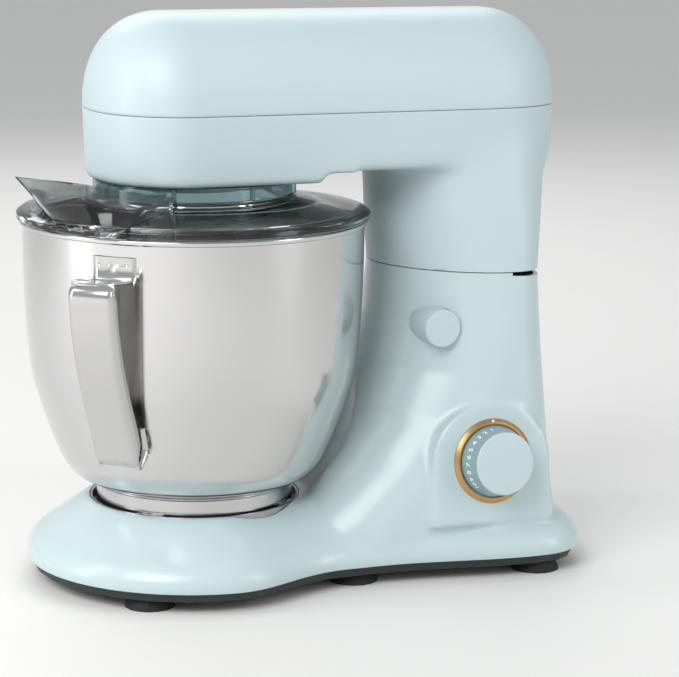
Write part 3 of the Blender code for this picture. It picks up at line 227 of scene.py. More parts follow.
def finish(name, hex_colour, roughness, metallic=0.0, variation=0.03, grain_mm=1.0, bump=0.05,
    stretch=(1, 1, 1), **extra):
    """A finish with faint mottling of its colour and gloss and a fine surface grain, all at real sizes."""
    material = bpy.data.materials.new(name)
    material.use_nodes = True
    tree = material.node_tree
    shader = tree.nodes["Principled BSDF"]
    shader.inputs["Metallic"].default_value = metallic
    for key, value in extra.items():
        shader.inputs[key.replace("_", " ")].default_value = value
    place = node(tree, "ShaderNodeTexCoord")
    mapping = node(tree, "ShaderNodeMapping", {"Scale": stretch}, [(place.outputs["Object"], "Vector")])
    broad = node(tree, "ShaderNodeTexNoise", {"Scale": 18.0, "Detail": 3.0},
        [(place.outputs["Object"], "Vector")])
    base = linear(hex_colour)
    darker = tuple(c * (1 - variation) for c in base[:3]) + (1,)
    lighter = tuple(min(c * (1 + variation), 1) for c in base[:3]) + (1,)
    colour = node(tree, "ShaderNodeMix", {"data_type": "RGBA"})
    tree.links.new(broad.outputs["Fac"], colour.inputs["Factor"])
    colour.inputs[6].default_value = darker
    colour.inputs[7].default_value = lighter
    tree.links.new(colour.outputs[2], shader.inputs["Base Color"])
    fine = node(
        tree,
        "ShaderNodeTexNoise",
        {"Scale": 1000.0 / grain_mm, "Detail": 2.0},
        [(mapping.outputs["Vector"], "Vector")],
    )
    gloss = node(
        tree,
        "ShaderNodeMapRange",
        {"To Min": max(roughness - 0.04, 0.01), "To Max": roughness + 0.04},
        [(fine.outputs["Fac"], "Value")],
    )
    tree.links.new(gloss.outputs["Result"], shader.inputs["Roughness"])
    relief = node(
        tree, "ShaderNodeBump", {"Strength": bump, "Distance": 0.0002}, [(fine.outputs["Fac"], "Height")]
    )
    tree.links.new(relief.outputs["Normal"], shader.inputs["Normal"])
    return material


# %% [markdown]
# The housings are ABS, moulded against a finely etched tool: satin, with a faint orange peel. The base has
# the same colour but a smoother tool, so it shines a little more. The bowl is drawn from stainless sheet
# and then buffed, which leaves a mirror with very faint lines round it.

# %% Plastics
satin_abs = finish("satin moulded ABS", "#BDCED2", 0.42, grain_mm=0.9, bump=0.04, variation=0.012)
gloss_abs = finish("gloss moulded ABS", "#BED0D2", 0.24, grain_mm=1.4, bump=0.02, variation=0.012)
# The skirt finish is the shell's ABS made darker: painted shade for the knob's sloping skirt, not a second
# colour.
skirt_shade_abs = finish("satin ABS with painted skirt shade", "#8DA8AC", 0.45, grain_mm=0.9, bump=0.04, variation=0.02)
inner_abs = finish("unpolished ABS", "#AFC3C8", 0.6, grain_mm=0.8, bump=0.1)
dark_nylon = finish("glass-filled black nylon", "#232C2B", 0.5, grain_mm=0.7, bump=0.15, variation=0.15)
soft_rubber = finish("moulded rubber", "#1A1C1C", 0.75, grain_mm=0.5, bump=0.2, variation=0.2)
natural_nylon = finish("natural nylon", "#E6E1D3", 0.45, grain_mm=0.8, bump=0.05)
white_print = finish("white pad print", "#F4F6F6", 0.5, grain_mm=0.3, bump=0.02)
board_green = finish("lacquered circuit board", "#2B6240", 0.35, grain_mm=2.0, bump=0.1, variation=0.15)

# %% Metals
buffed_steel = finish(
    "buffed stainless steel", "#D3D2D1", 0.13, 1.0, variation=0.02, grain_mm=0.6, bump=0.012, stretch=(0.15,
        0.15, 1)
)
bright_steel = finish("pressed stainless steel", "#C9C8C8", 0.16, 1.0, variation=0.05, grain_mm=0.8,
    bump=0.05)
zinc_steel = finish("zinc plated steel", "#A3A6A8", 0.38, 1.0, variation=0.12, grain_mm=0.6, bump=0.15)
die_cast = finish("die-cast alloy", "#B3B5B6", 0.42, 1.0, variation=0.08, grain_mm=0.5, bump=0.2)
gold_anodised = finish(
    "brushed anodised ring", "#C9A06B", 0.3, 1.0, variation=0.06, grain_mm=0.35, bump=0.12, stretch=(0.2, 1,
        1)
)
plain_brass = finish("machined brass", "#B58A43", 0.3, 1.0, variation=0.06, grain_mm=0.4, bump=0.1)
copper_wire = finish("enamelled copper winding", "#A9602F", 0.35, 1.0, variation=0.15, grain_mm=0.6, bump=0.5)

# %% [markdown]
# The splash guard is clear plastic with a smoky tint, and its collar has a blue-green one. Light goes
# through both, so they are glass to the shader, with the refraction of styrene. Tints are mild because the
# colour builds up each time that light crosses a wall.

# %% Clear plastics
smoky_clear = finish(
    "smoky clear styrene",
    "#D3D8D9",
    0.03,
    variation=0.02,
    grain_mm=3.0,
    bump=0.01,
    Transmission_Weight=1.0,
    IOR=1.45,
)
teal_clear = finish(
    "teal clear styrene",
    "#A9CDCF",
    0.06,
    variation=0.02,
    grain_mm=3.0,
    bump=0.01,
    Transmission_Weight=0.9,
    IOR=1.45,
)

# %% [markdown]
# ## Outlines
#
# Seen from above, the head, neck and column are loaf shapes: a rounder front end, a fuller rear end and
# straight sides between. A superellipse gives such an end with one number: 2 is an ellipse, and more is
# squarer.

# %% Loaf outline
SEAM = 294.7  # where the head's two halves meet
HEAD_FRONT, HEAD_REAR, HEAD_HALF = -67.5, 236.8, 64.5
HEAD_BOTTOM, HEAD_TOP = 252.0, 354.5
TILT_SEAM = 192.5


def loaf(front, rear, half, front_cap, rear_cap, front_power, rear_power, z, count=160):
    over = max(front_cap + rear_cap - (rear - front), 0) / 2
    front_cap, rear_cap = front_cap - over, rear_cap - over
    ring = []
    for i in range(count):
        angle = 2 * math.pi * (i + 0.5) / count
        c, s = math.cos(angle), math.sin(angle)
        cap, power, centre = (rear_cap, rear_power, rear - rear_cap) if c > 0 else (front_cap, front_power,
            front + front_cap)
        x = centre + math.copysign(abs(c) ** (2 / power), c) * cap
        ring.append((x, math.copysign(abs(s) ** (2 / power), s) * half, z))
    return ring


def head_ring(z, inset=0.0):
    draft = 1.6 * (SEAM - z) / (SEAM - HEAD_BOTTOM) if z < SEAM else 0
    off = inset + draft
    return loaf(HEAD_FRONT + off, HEAD_REAR - inset, HEAD_HALF - off, 50 - inset, 71 - inset, 2.15, 2.5, z)


# %% [markdown]
# ## Top cover
#
# The crown is lofted: each outline is smaller than the one below, and the heights follow a superellipse
# too, so the side turns into the flat top with no visible join. Solidify then gives the wall its 2.6 mm.


# %% Top cover
def crown_ring(share):
    angle = math.radians(88.5) * share
    rise, shrink = math.sin(angle) ** (2 / 2.3), math.cos(angle) ** (2 / 2.3)
    z = SEAM + 0.15 + (HEAD_TOP - SEAM - 0.2) * rise
    front, rear = HEAD_FRONT + 50 * (1 - shrink), HEAD_REAR - 46 * (1 - shrink)
    return loaf(front, rear, HEAD_HALF * shrink, 50 * shrink, 71 * shrink, 2.15, 2.5, z)


lip = [(x * 0.9965 + 0.3, y * 0.9945, z) for x, y, z in crown_ring(0)]
crown = [crown_ring((i / 44) ** 1.15) for i in range(1, 45)]
bm = skin([lip, [(x, y, z + 0.4) for x, y, z in crown_ring(0)]] + crown)
bottom = min(bm.faces, key=lambda face: face.calc_center_median().z)
bmesh.ops.delete(bm, geom=[bottom], context="FACES_ONLY")
top_cover = piece("top_cover", bm, "head", satin_abs, ["head_top_cover"], 60)
wall = top_cover.modifiers.new("wall", "SOLIDIFY")
wall.thickness = 0.0026
wall.offset = -1
finished(top_cover)

# %% [markdown]
# ## Blending solids
#
# The lower half of the head, and the base with its column, are each one moulding whose parts flow into each
# other. Bevelling such joins edge by edge is slow and breaks easily. A voxel remesh fuses overlapping
# solids into one even skin, and smoothing its points rounds each join. The flat parting edges are cut
# afterwards, so that they stay crisp.


# %% Fuse solids into one skin
def fused(parts, voxel, rounds, soft_rounds=0, soft_where=None):
    """Fuses closed bmeshes, smooths the joins, and smooths more where soft_where says so."""
    joined = bmesh.new()
    for part in parts:
        bmesh.ops.recalc_face_normals(part, faces=part.faces)
        mesh = bpy.data.meshes.new("part")
        part.to_mesh(mesh)
        part.free()
        joined.from_mesh(mesh)
        bpy.data.meshes.remove(mesh)
    lump = as_cutter(joined, Matrix.Identity(4))
    remesh = lump.modifiers.new("fuse", "REMESH")
    remesh.mode = "VOXEL"
    remesh.voxel_size = voxel
    finished(lump)
    bm = bmesh.new()
    bm.from_mesh(lump.data)
    bpy.data.objects.remove(lump)
    soft = [v for v in bm.verts if soft_where(v.co)] if soft_where else []
    for _ in range(rounds):
        bmesh.ops.smooth_vert(bm, verts=bm.verts, factor=0.5, use_axis_x=True, use_axis_y=True,
            use_axis_z=True)
    for _ in range(soft_rounds):
        bmesh.ops.smooth_vert(bm, verts=soft, factor=0.5, use_axis_x=True, use_axis_y=True, use_axis_z=True)
    return bm


def keep_side(bm, point, normal, close=False):
    """Cuts the skin on a plane and throws away the side that the normal points to."""
    cut = bmesh.ops.bisect_plane(
        bm,
        geom=bm.verts[:] + bm.edges[:] + bm.faces[:],
        plane_co=point,
        plane_no=normal,
        clear_outer=True,
    )["geom_cut"]
    if close:
        bmesh.ops.contextual_create(bm, geom=[item for item in cut if isinstance(item, bmesh.types.BMEdge)])


# %% [markdown]
# ## Lower half of the head, and the neck
#
# The bar carries the gears, and the neck carries the bar. Behind the bowl the underside steps up by 6 mm.
# The neck spreads on its way down to the tilt seam, where it has the column's outline.


# %% Lower head
def neck_ring(z):
    share = min(max((z - TILT_SEAM) / 92.5, 0), 1)
    spread = max(TILT_SEAM - z, 0) * 0.03
    return loaf(
        122 - 3 * share - spread,
        219.7 + 13.1 * share + spread,
        73.1 - 12.1 * share**1.3 + spread,
        71,
        36.2 + 28.8 * share,
        1.8 + 0.5 * share,
        2.5,
        z,
    )


def cross_prism(outline, half):
    """A prism across the mixer from an outline drawn in X and Z."""
    bm = prism(outline, -half, half)
    bm.transform(Matrix.Rotation(math.pi / 2, 4, "X"))
    return bm


bar = as_cutter(skin([head_ring(HEAD_BOTTOM, 2.5), head_ring(HEAD_BOTTOM + 1.0, 0.8),
    head_ring(HEAD_BOTTOM + 3, 0), head_ring(SEAM), head_ring(SEAM + 8)]), Matrix.Identity(4))
step = as_cutter(cross_prism([(54, 240), (65, 258), (270, 258), (270, 240)], 100), Matrix.Identity(4))
carve(bar, step)
bar_bm = bmesh.new()
bar_bm.from_mesh(bar.data)
bpy.data.objects.remove(bar)
neck = skin([neck_ring(z) for z in (182, 192.5, 205, 220, 240, 262, 285)])
bm = fused([bar_bm, neck], 1.9, 5, 45, lambda p: p.x > 84 and 232 < p.z < 286)
keep_side(bm, (0, 0, SEAM - 0.15), (0, 0, 1))
keep_side(bm, (0, 0, TILT_SEAM + 0.3), (0, 0, -1))
lower_head = piece("lower_head", bm, "head", satin_abs, ["head_lower_housing"], 60)
wall = lower_head.modifiers.new("wall", "SOLIDIFY")
wall.thickness = 0.0028
wall.offset = -1
finished(lower_head)
hub_bore = disc(48, 26, 128, Matrix.Translation((0, 0, 252)))
carve(lower_head, as_cutter(hub_bore))

# %% [markdown]
# ## Base and column
#
# The base is a rounded plate, wide under the bowl, drawn in at the waist and wider again behind. The column
# grows out of it and leans forward. Its front is scooped out round the bowl, and the control panel stands a
# little proud of its side.


# %% Base outline
def ease(share):
    share = min(max(share, 0), 1)
    return share * share * (3 - 2 * share)


def base_half(x):
    round_front = math.sqrt(max(106.5**2 - min(x, 92) ** 2, 0))
    width = 82.3 + (round_front - 82.3) * (1 - ease((x + 10) / 95))
    return width + (96 - 82.3) * ease((x - 92) / 107)


def base_ring(z, inset):
    side = []
    for i in range(24):
        angle = math.pi * (1 - i / 52)
        side.append((106.5 * math.cos(angle), 106.5 * math.sin(angle)))
    start, stop = side[-1][0], 199
    side += [(x, base_half(x)) for x in (start + (stop - start) * i / 32 for i in range(1, 32))]
    for i in range(20):
        angle = math.pi / 2 * (1 - i / 19)
        c, s = max(math.cos(angle), 0), max(math.sin(angle), 0)
        side.append((stop + 50 * c ** (2 / 2.6), 96 * s ** (2 / 2.6)))
    ring = side + [(x, -y) for x, y in reversed(side[1:-1])]
    moved = []
    for i, (x, y) in enumerate(ring):
        along = (Vector(ring[(i + 1) % len(ring)]) - Vector(ring[i - 1])).normalized()
        moved.append((x + inset * along.y, y - inset * along.x, z))
    return moved


def column_ring(z, inset=0.0):
    stations = [(20, 30, 240, 81), (36, 32, 234, 80.5), (50, 46, 232, 79.5), (75, 74, 229.5, 78),
        (100, 97, 227.5, 76.7)]
    stations += [(130, 112, 225, 75.4), (160, 119, 222.3, 74.3), (192.5, 122, 219.7, 73.1),
        (210, 123, 218, 72.4)]
    lower, upper = next((a, b) for a, b in zip(stations, stations[1:]) if z <= b[0] or b is stations[-1])
    share = (z - lower[0]) / (upper[0] - lower[0])
    front, rear, half = (a + (b - a) * share for a, b in zip(lower[1:], upper[1:]))
    return loaf(front + inset, rear - inset, half - inset, 71 - inset, 36.2 - inset, 1.8, 2.5, z)


# %% Knob panel frame
KNOB_TILT = math.radians(6.5)
knob_out = Vector((0, -math.cos(KNOB_TILT), math.sin(KNOB_TILT)))
knob_up = Vector((0, math.sin(KNOB_TILT), math.cos(KNOB_TILT)))
knob_place = Matrix.Translation((170.8, -81, 74.4)) @ Matrix((knob_up.cross(knob_out), knob_up,
    knob_out)).transposed().to_4x4()

# %% Base housing
levels = [(10, 1.2), (13.3, 1.0), (15.3, 0), (20, 0.3), (24, 2.5), (28, 6), (36, 17), (44, 28.5), (50.2, 38)]
plinth = skin([base_ring(z, inset) for z, inset in levels])
column = as_cutter(skin([column_ring(z) for z in (20, 36, 50, 62, 75, 88, 100, 115, 130, 145, 160, 176,
    192.5, 202)]), Matrix.Identity(4))
scoop = [(0, 30), (73.6, 30), (73.6, 52), (80, 62), (93, 78), (103, 100), (110, 130), (112.5, 165),
    (113, 260), (0, 260)]
carve(column, as_cutter(turned(scoop, closed=False, steps=128), Matrix.Identity(4)))
column_bm = bmesh.new()
column_bm.from_mesh(column.data)
bpy.data.objects.remove(column)
arch = [(41 * math.cos(math.pi * i / 32), 37 * math.sin(math.pi * i / 32)) for i in range(33)]
panel = prism([(42.5, -40)] + arch + [(-42.5, -40)], -22, 0.5)
panel.transform(knob_place)
bm = fused(
    [plinth, column_bm, panel],
    1.85,
    4,
    14,
    lambda p: p.x > 20 and 30 < p.z < 62 and not (p.y < -60 and 120 < p.x < 225),
)
keep_side(bm, (0, 0, 13.3), (0, 0, -1), close=True)
keep_side(bm, (0, 0, TILT_SEAM - 0.3), (0, 0, 1), close=True)
base = piece("base", bm, "base", gloss_abs, ["base_housing"], 60)
# The base is an open shell: its wall stops at the plate underneath.
hollow_levels = [(8, 3.6), (20, 3.3), (24, 5.5), (28, 9), (34, 18), (38.2, 26)]
seat_bore = disc(66.6, 40, 160, Matrix.Translation((0, 0, 62)))
heights = (24, 36, 50, 62, 75, 88, 100, 115, 130, 145, 160, 176, 192.5, 202)
column_hollow = as_cutter(skin([column_ring(z, 2.8) for z in heights]), Matrix.Identity(4))
wall_scoop = [(r + 2.8 if r else 0, z) for r, z in scoop]
carve(column_hollow, as_cutter(turned(wall_scoop, closed=False, steps=128), Matrix.Identity(4)))
column_hollow.data.transform(HOME)
button_turn = Matrix.Rotation(math.pi / 2, 4, "X")
button_bore = disc(12.5, 40, 96, Matrix.Translation((142.3, -75, 158)) @ button_turn)
knob_bore = disc(4.5, 16, 64, knob_place)
carve(
    base,
    as_cutter(skin([base_ring(z, inset) for z, inset in hollow_levels])),
    column_hollow,
    as_cutter(seat_bore),
    as_cutter(button_bore),
    as_cutter(knob_bore),
    as_cutter(cross_prism([(186, 190.3), (262, 185.2), (262, 210), (186, 210)], 100)),
)

# %% [markdown]
# ## Bowl
#
# The bowl is one sheet, spun to shape and rolled over at the rim. A turned profile does the same job here,
# with an arc at each corner because pressed steel never has a sharp one. The foot ring is a separate band,
# welded on.

# %% Bowl shell
RIM_R = 106.6
heights = [62.0, 63.0, 66.0, 71.0, 79.0, 99.0, 131.0, 176.0, 223.0]
shares = [0.596, 0.635, 0.7, 0.747, 0.792, 0.866, 0.954, 0.99, 1.0]


def bowl_radius(z):
    """Outside radius of the bowl at a height, from a smooth curve through its measured stations."""
    if z <= heights[0]:
        return shares[0] * RIM_R
    k = max(i for i in range(len(heights) - 1) if heights[i] <= z)
    z0, z1 = heights[k], heights[k + 1]
    slope = [(shares[min(i + 1, 8)] - shares[max(i - 1, 0)]) / (heights[min(i + 1, 8)] - heights[max(i - 1,
        0)]) for i in (k, k + 1)]
    t = (z - z0) / (z1 - z0)
    a, b = shares[k], shares[k + 1]
    h = (2 * t**3 - 3 * t**2 + 1) * a + (t**3 - 2 * t**2 + t) * (z1 - z0) * slope[0]
    return (h + (-2 * t**3 + 3 * t**2) * b + (t**3 - t**2) * (z1 - z0) * slope[1]) * RIM_R


levels = [62 + 161 * (i / 60) ** 1.8 for i in range(61)]
wall_out = [(bowl_radius(z), z) for z in levels]
wall_in = [(r - 1.0, max(z, 63.2)) for r, z in reversed(wall_out)]
bm = turned(
    [(0, 62)] + [(62, 62)] + wall_out + [(108.3, 224.0, 0.5), (108.4, 226.2, 0.9), (106.0, 227.0, 0.5),
        (105.6, 223.6)] + wall_in + [(0, 63.2)],
    closed=False,
    steps=192,
)
bowl = piece("bowl", bm, "bowl", buffed_steel, ["bowl_shell"], 30)

# %% Foot ring
ring_profile = [(61, 45.2, 0.4), (62, 45.2, 0.4), (62, 59.2), (62.6, 59.6, 0.4), (63.1, 60.3, 0.4),
    (62.6, 61.0, 0.4), (62, 61.4), (62, 61.7), (61, 61.7)]
bm = turned(ring_profile, steps=160)
for i in range(4):
    lug = bmesh.new()
    bmesh.ops.create_cube(lug, size=1,
        matrix=Matrix.Rotation(math.radians(45 + 90 * i), 4,
        "Z") @ Matrix.Translation((62.9, 0, 48.6)) @ Matrix.Diagonal((2.0, 9, 3.4, 1)))
    bmesh.ops.bevel(lug, geom=lug.edges[:], offset=0.7, segments=3, profile=0.5, affect="EDGES", material=-1)
    lug_mesh = bpy.data.meshes.new("lug")
    lug.to_mesh(lug_mesh)
    lug.free()
    bm.from_mesh(lug_mesh)
piece("bowl_foot", bm, "bowl", bright_steel, ["bowl_foot_ring"], 40)

# %% [markdown]
# ## Bowl handle
#
# The handle is one strip, bent down to make the grip and welded to the bowl above and below. Its long edges
# are turned in so that they don't cut a hand.

# %% Handle strip
HANDLE_ANGLE = math.radians(-135)
reach = bowl_radius(200) + 31
offset = 1.1
path = [
    (bowl_radius(216) + offset, 216),
    (bowl_radius(206) + offset, 206.5),
    (bowl_radius(204) + offset + 1.5, 202.2),
    (bowl_radius(204) + offset + 5.5, 201.5),
    (reach - 7, 203.2),
    (reach - 3.5, 203.0),
    (reach - 0.7, 201.2),
    (reach + 0.8, 197.5),
    (reach, 188),
    (reach - 3, 170),
    (reach - 9, 148),
    (reach - 17, 128),
    (reach - 25, 110),
    (reach - 29, 99),
    (reach - 31, 93.5),
    (reach - 34.5, 90.3),
    (reach - 38.5, 91.5),
    (bowl_radius(97) + offset + 2, 97),
    (bowl_radius(102) + offset, 102.5),
    (bowl_radius(112) + offset, 112),
]


def spline(points, steps):
    """A smooth curve through the points, as a Catmull-Rom curve."""
    curve = []
    for i in range(len(points) - 1):
        p = [Vector(points[min(max(i + k, 0), len(points) - 1)]) for k in (-1, 0, 1, 2)]
        for j in range(steps):
            t = j / steps
            bend = 2 * p[1] + (p[2] - p[0]) * t + (2 * p[0] - 5 * p[1] + 4 * p[2] - p[3]) * t * t
            curve.append((bend + (3 * p[1] - p[0] - 3 * p[2] + p[3]) * t**3) / 2)
    return curve + [Vector(points[-1])]


def strip_ring(here, along, flange):
    """One section across the strip: a shallow channel, 28 mm wide, with its edges turned in."""
    outward = Vector((along.y, -along.x))
    if outward.x < 0 and abs(along.x) < 0.99:
        outward = -outward
    outside = [(-14, -flange), (-14, -1.6), (-12.6, -0.1), (-10, 0.3), (0, 0.3), (10, 0.3), (12.6, -0.1),
        (14, -1.6), (14, -flange)]
    inside = [(12.6, -flange), (12.6, -2.2), (11.6, -1.3), (10, -1.1), (0, -1.1), (-10, -1.1),
        (-11.6, -1.3), (-12.6, -2.2), (-12.6, -flange)]
    ring = []
    for across, out in outside + inside:
        spot = here + outward * out
        ring.append(Vector((spot.x, across, spot.y)))
    return ring


curve = spline(path, 5)
sections = []
for i, here in enumerate(curve):
    along = (curve[min(i + 1, len(curve) - 1)] - curve[max(i - 1, 0)]).normalized()
    grip = min(max((202 - here.y) / 8, 0), 1) * min(max((here.y - 93) / 8, 0),
        1) if here.x > bowl_radius(here.y) + 4 else 0
    sections.append(strip_ring(here, along, 2.4 + 5.6 * grip))
bm = skin(sections)
handle_turn = Matrix.Rotation(HANDLE_ANGLE, 4, "Z")
bm.transform(handle_turn)
handle = piece("handle", bm, "bowl", bright_steel, ["bowl_handle"], 50)
DIMPLE_Z = 211.5
for across in (-9, -3, 3, 9):
    dent = bmesh.new()
    place = handle_turn @ Matrix.Translation((bowl_radius(DIMPLE_Z) + offset + 1.9, across, DIMPLE_Z))
    bmesh.ops.create_uvsphere(dent, u_segments=24, v_segments=16, radius=2.0, matrix=place)
    carve(handle, as_cutter(dent))

# %% [markdown]
# ## Splash guard and collar
#
# The guard rests on the rim and is turned like a lid with a wide hole. The chute that lets you add flour
# stands on its left side. Its wall is a loft whose outlines are straight lines between a low and a high
# arc.


# %% Guard ring
guard_profile = [(60, 242.7, 0.5), (63, 242.7), (65, 240.5), (80, 237.6), (95, 234.8), (107, 233, 2),
    (110, 231, 1), (110, 227.4, 0.5)]
guard_profile += [(102.8, 227.4, 0.5), (102.8, 222, 0.5), (100.8, 222, 0.5), (100.8, 231, 1), (80, 235.6),
    (60, 239.3, 0.5)]
guard_bm = turned(guard_profile, steps=160)
guard_ring = as_cutter(guard_bm, Matrix.Identity(4))

# %% Chute
SPOUT = math.radians(-158)


def chute_floor(x):
    return 237.8 - 0.19 * (x - 62)


def chute_brim(x):
    return 251 + 0.1825 * (x - 75)


def chute_ring(share, off):
    """The chute's outline a share of the way up: an inner arc, then the outer arc back again."""
    points = []
    half = math.radians(38) - off / 66
    for i in range(17):
        angle = half * (1 - i / 8)
        x, y = (66 + off) * math.cos(angle), (66 + off) * math.sin(angle)
        points.append((x, y, chute_floor(x) * (1 - share) + chute_brim(x) * share))
    for i in range(33):
        t = -1 + i / 16
        lx, ly = (105 - off) * math.cos(math.radians(27) * t), (105 - off) * math.sin(math.radians(27) * t)
        far = 138 - off - 0.86 * (138 - 52) * abs(t) ** 1.25
        hx, hy = far, (66 * math.sin(math.radians(38)) - off) * t
        low, high = Vector((lx, ly, chute_floor(lx))), Vector((hx, hy, chute_brim(hx)))
        points.append(tuple(low.lerp(high, share)))
    return points


outer_chute = skin([chute_ring(i / 8, 0) for i in range(9)])
inner_chute = skin([chute_ring(-0.5 + 1.8 * i / 8, 2) for i in range(9)])
spin_chute = Matrix.Rotation(SPOUT, 4, "Z")
outer_chute.transform(spin_chute)
inner_chute.transform(spin_chute)
outer_chute, inner_chute = as_cutter(outer_chute, Matrix.Identity(4)), as_cutter(inner_chute,
    Matrix.Identity(4))
carve(guard_ring, outer_chute, operation="UNION")
carve(guard_ring, inner_chute)
bm = bmesh.new()
bm.from_mesh(guard_ring.data)
bpy.data.objects.remove(guard_ring)
guard = piece("guard", bm, "guard", smoky_clear, ["splash_guard"], 40)

# %% Collar with its ribs
bm = turned([(60, 243, 0.5), (62, 243, 0.5), (62, 251.7, 0.7), (58, 251.7, 0.5), (58, 250.2, 0.5),
    (60, 250.2, 0.5)], steps=160)
for i in range(8):
    rib = bmesh.new()
    place = Matrix.Rotation(math.radians(-120 + 45 * i), 4,
        "Z") @ Matrix.Translation((63, 0, 247.2)) @ Matrix.Diagonal((2.4, 2.6, 8.2, 1))
    bmesh.ops.create_cube(rib, size=1, matrix=place)
    bmesh.ops.bevel(rib, geom=rib.edges[:], offset=0.6, segments=3, profile=0.5, affect="EDGES", material=-1)
    rib_mesh = bpy.data.meshes.new("rib")
    rib.to_mesh(rib_mesh)
    rib.free()
    bm.from_mesh(rib_mesh)
collar = piece("collar", bm, "guard", teal_clear, ["guard_collar"], 40)

# %% [markdown]
# ## Knob, ring and button
#
# The knob is moulded as one turned piece, so its numbers can be printed on the sloping skirt. The dial ring
# behind it is bevelled, and stands 0.3 mm off the panel, which leaves a thin dark gap round it.


# %% Knob
profile = [(0, 14.5), (3.3, 14.5), (3.3, 3), (6, 3), (6, 16.6), (17.4, 16.6), (20.3, 0.6)]
profile += [(22.5, 0.6, 0.3), (22.5, 1.6, 0.2), (19.8, 19, 1.6), (0, 19)]
bm = turned(profile, closed=False, steps=128)
bm.transform(knob_place)
knob = piece("knob", bm, "knob", satin_abs, ["speed_knob"], 30)
knob.data.materials.append(skirt_shade_abs)
# Faces that don't face straight out, mostly the skirt, get the darker finish as painted shade.
for face in knob.data.polygons:
    face.material_index = int(face.normal.dot(knob_out) < 0.5)

# %% Numbers round the skirt
slope = math.atan2(22.5 - 19.8, 17.4)
numbers = []
for value in range(1, 11):
    text = bpy.data.curves.new(f"number {value}", "FONT")
    text.body = str(value)
    text.size = 5.4
    text.offset = 0.08
    text.align_x, text.align_y = "CENTER", "CENTER"
    text.extrude = 0.06
    text.resolution_u = 6
    carrier = bpy.data.objects.new(f"number {value}", text)
    bpy.context.scene.collection.objects.link(carrier)
    bpy.context.view_layer.update()
    flat = bpy.data.meshes.new_from_object(carrier.evaluated_get(bpy.context.evaluated_depsgraph_get()))
    bpy.data.objects.remove(carrier)
    number = bmesh.new()
    number.from_mesh(flat)
    around = math.radians(102 + 13 * (value - 1))
    middle = 22.5 - (22.5 - 19.8) * (9.5 - 1.6) / 17.4 + 0.08
    stand = Matrix.Rotation(around, 4, "Z") @ Matrix.Translation((middle, 0, 9.5))
    stand = stand @ Matrix.Rotation(-slope, 4,
        "Y") @ Matrix(((0, 0, 1, 0), (-1, 0, 0, 0), (0, -1, 0, 0), (0, 0, 0, 1)))
    number.transform(knob_place @ stand)
    numbers.append(piece(f"number_{value}", number, "knob", white_print, (), 20))
print("made", len(numbers), "numbers")

# %% Dial ring and its index dot
bm = turned([(23.3, 0.3, 0.3), (26.8, 0.3, 0.3), (26.8, 1.4, 0.3), (24.4, 2.9, 0.4), (23.3, 2.9, 0.3)],
    steps=160)
bm.transform(knob_place)
dial = piece("dial", bm, "base", gold_anodised, ["dial_ring"], 40)
dot = disc(0.9, 0.4, 32, knob_place @ Matrix.Translation((0, 25.3, 2.5)))
index_dot = piece("index_dot", dot, "base", white_print, (), 30)

# %% Release button
profile = [(0, -43.5), (4, -43.5), (4, -2.5), (10, -2.5), (10, -26), (12, -26, 0.3), (12, 0, 1.2), (0, 0)]
bm = turned(profile, closed=False, steps=128)
bm.transform(Matrix.Translation((142.3, -65.5, 158)) @ button_turn)
button = piece("button_cap", bm, "button", satin_abs, ["release_button"], 40)

# %% [markdown]
# ## Latch spring
#
# A wire coil pushes the button out. It is a small circle swept round and along its axis.

# %% Coil
spring_low, spring_high = (Vector(corner) * 1000 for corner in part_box("latch_spring"))
length = spring_high.y - spring_low.y
WIRE_R, TURNS = 0.7, 5
coil_r = (spring_high.z - spring_low.z) / 2 - WIRE_R
bm = bmesh.new()
ring = bmesh.ops.create_circle(bm, cap_ends=False, segments=12, radius=WIRE_R)["verts"]
bmesh.ops.rotate(bm, verts=ring, cent=(0, 0, 0), matrix=Matrix.Rotation(math.pi / 2, 3, "X"))
bmesh.ops.translate(bm, verts=ring, vec=(coil_r, 0, 0))
steps = 32 * TURNS
rise = (0, 0, (length - 2 * WIRE_R) / steps)
bmesh.ops.spin(bm, geom=bm.verts[:] + bm.edges[:], axis=(0, 0, 1), angle=2 * math.pi * TURNS, steps=steps,
    dvec=rise)
bmesh.ops.holes_fill(bm, edges=bm.edges[:], sides=12)
bm.transform(Matrix.Translation((142.3, spring_high.y - WIRE_R, 158)) @ button_turn)
spring = piece("spring_coil", bm, "button", zinc_steel, ["latch_spring"], 60)
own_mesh(spring)

# %% [markdown]
# ## Hidden and standard pieces
#
# The remaining pieces keep their CAD shape, because gears, screws and the motor are already drawn as they
# are made. They only need the finish of their real material.

# %% Finishes for the carried-over pieces
slots = {
    "shell": inner_abs,
    "steel": bright_steel,
    "dark_steel": zinc_steel,
    "gold": gold_anodised,
    "black_plastic": dark_nylon,
    "rubber": soft_rubber,
    "clear": smoky_clear,
    "clear_teal": teal_clear,
    "cast_alloy": die_cast,
    "nylon": natural_nylon,
    "brass": plain_brass,
    "copper": copper_wire,
    "board": board_green,
}
for name, obj in nodes.items():
    if not obj.data.materials:
        print("no material on", name)
    for i, old in enumerate(obj.data.materials):
        stem = old.name.split(".")[0] if old else ""
        if stem in slots:
            obj.data.materials[i] = slots[stem]

# %% [markdown]
# ## Setting and light
#
# A pale floor and soft light show the shape. Large lamps make broad highlights on the satin shells, and the
# bowl, being a mirror, needs something pale to reflect on both sides.

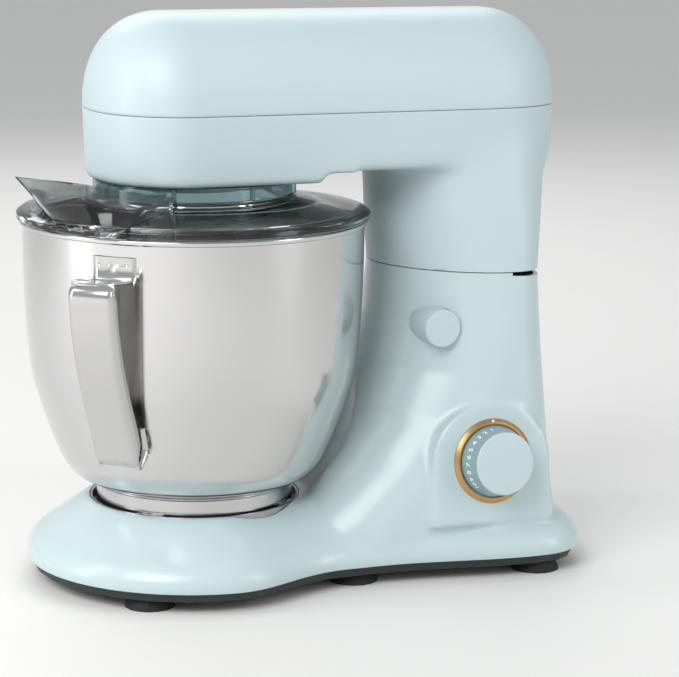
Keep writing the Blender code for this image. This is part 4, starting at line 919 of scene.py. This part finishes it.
# %% Floor, world and lamps
floor_bm = bmesh.new()
bmesh.ops.create_grid(floor_bm, x_segments=2, y_segments=2, size=15)
floor_mesh = bpy.data.meshes.new("floor")
floor_bm.to_mesh(floor_mesh)
floor_bm.free()
floor = bpy.data.objects.new("floor", floor_mesh)
bpy.context.scene.collection.objects.link(floor)
floor_finish = finish("pale matt floor", "#E9E8E6", 0.7, grain_mm=2.0, bump=0.02, variation=0.01)
floor_mesh.materials.append(floor_finish)

world = bpy.context.scene.world or bpy.data.worlds.new("world")
bpy.context.scene.world = world
world.use_nodes = True
world.node_tree.nodes["Background"].inputs["Color"].default_value = linear("#EEF1F2")
world.node_tree.nodes["Background"].inputs["Strength"].default_value = 0.62
bpy.context.scene.view_settings.view_transform = "Standard"


def lamp(name, place, aim, size, watts):
    data = bpy.data.lights.new(name, "AREA")
    data.shape = "RECTANGLE"
    data.size, data.size_y = size
    data.energy = watts
    made = bpy.data.objects.new(name, data)
    made.location = place
    made.rotation_euler = (Vector(aim) - Vector(place)).to_track_quat("-Z", "Y").to_euler()
    made.visible_camera = False
    bpy.context.scene.collection.objects.link(made)


lamp("window", (-1.4, -1.1, 1.5), (0, 0, 0.15), (1.3, 1.3), 30)
lamp("strip", (-1.6, 0.2, 0.7), (0, 0, 0.15), (0.35, 1.6), 9)
lamp("fill", (1.7, -1.7, 0.9), (0, 0, 0.15), (0.7, 1.6), 12)
lamp("back", (0.3, 1.8, 1.5), (0, 0, 0.2), (1.8, 0.9), 14)

# %% Camera
HEADING, PITCH, ROLL = 0.393, 0.189, 0.010
right = Vector((math.cos(-HEADING), math.sin(-HEADING), 0))
back = Vector((math.sin(-HEADING) * math.cos(PITCH), -math.cos(-HEADING) * math.cos(PITCH), math.sin(PITCH)))
up = back.cross(right)
centre = (right * 95.245 - up * 75.649 + back * 1574.885) * 0.96 + Vector((0, 0, 224))
camera_data = bpy.data.cameras.new("camera")
camera_data.lens = 2425.13 * 36 / 679
camera_data.sensor_width = 36
camera = bpy.data.objects.new("camera", camera_data)
turn = Matrix((right, up, back)).transposed().to_4x4()
camera.matrix_world = Matrix.Translation((centre.x / 1000 + bowl_axis_x, centre.y / 1000,
    centre.z / 1000)) @ turn @ Matrix.Rotation(ROLL, 4, "Z")
bpy.context.scene.collection.objects.link(camera)
bpy.context.scene.camera = camera
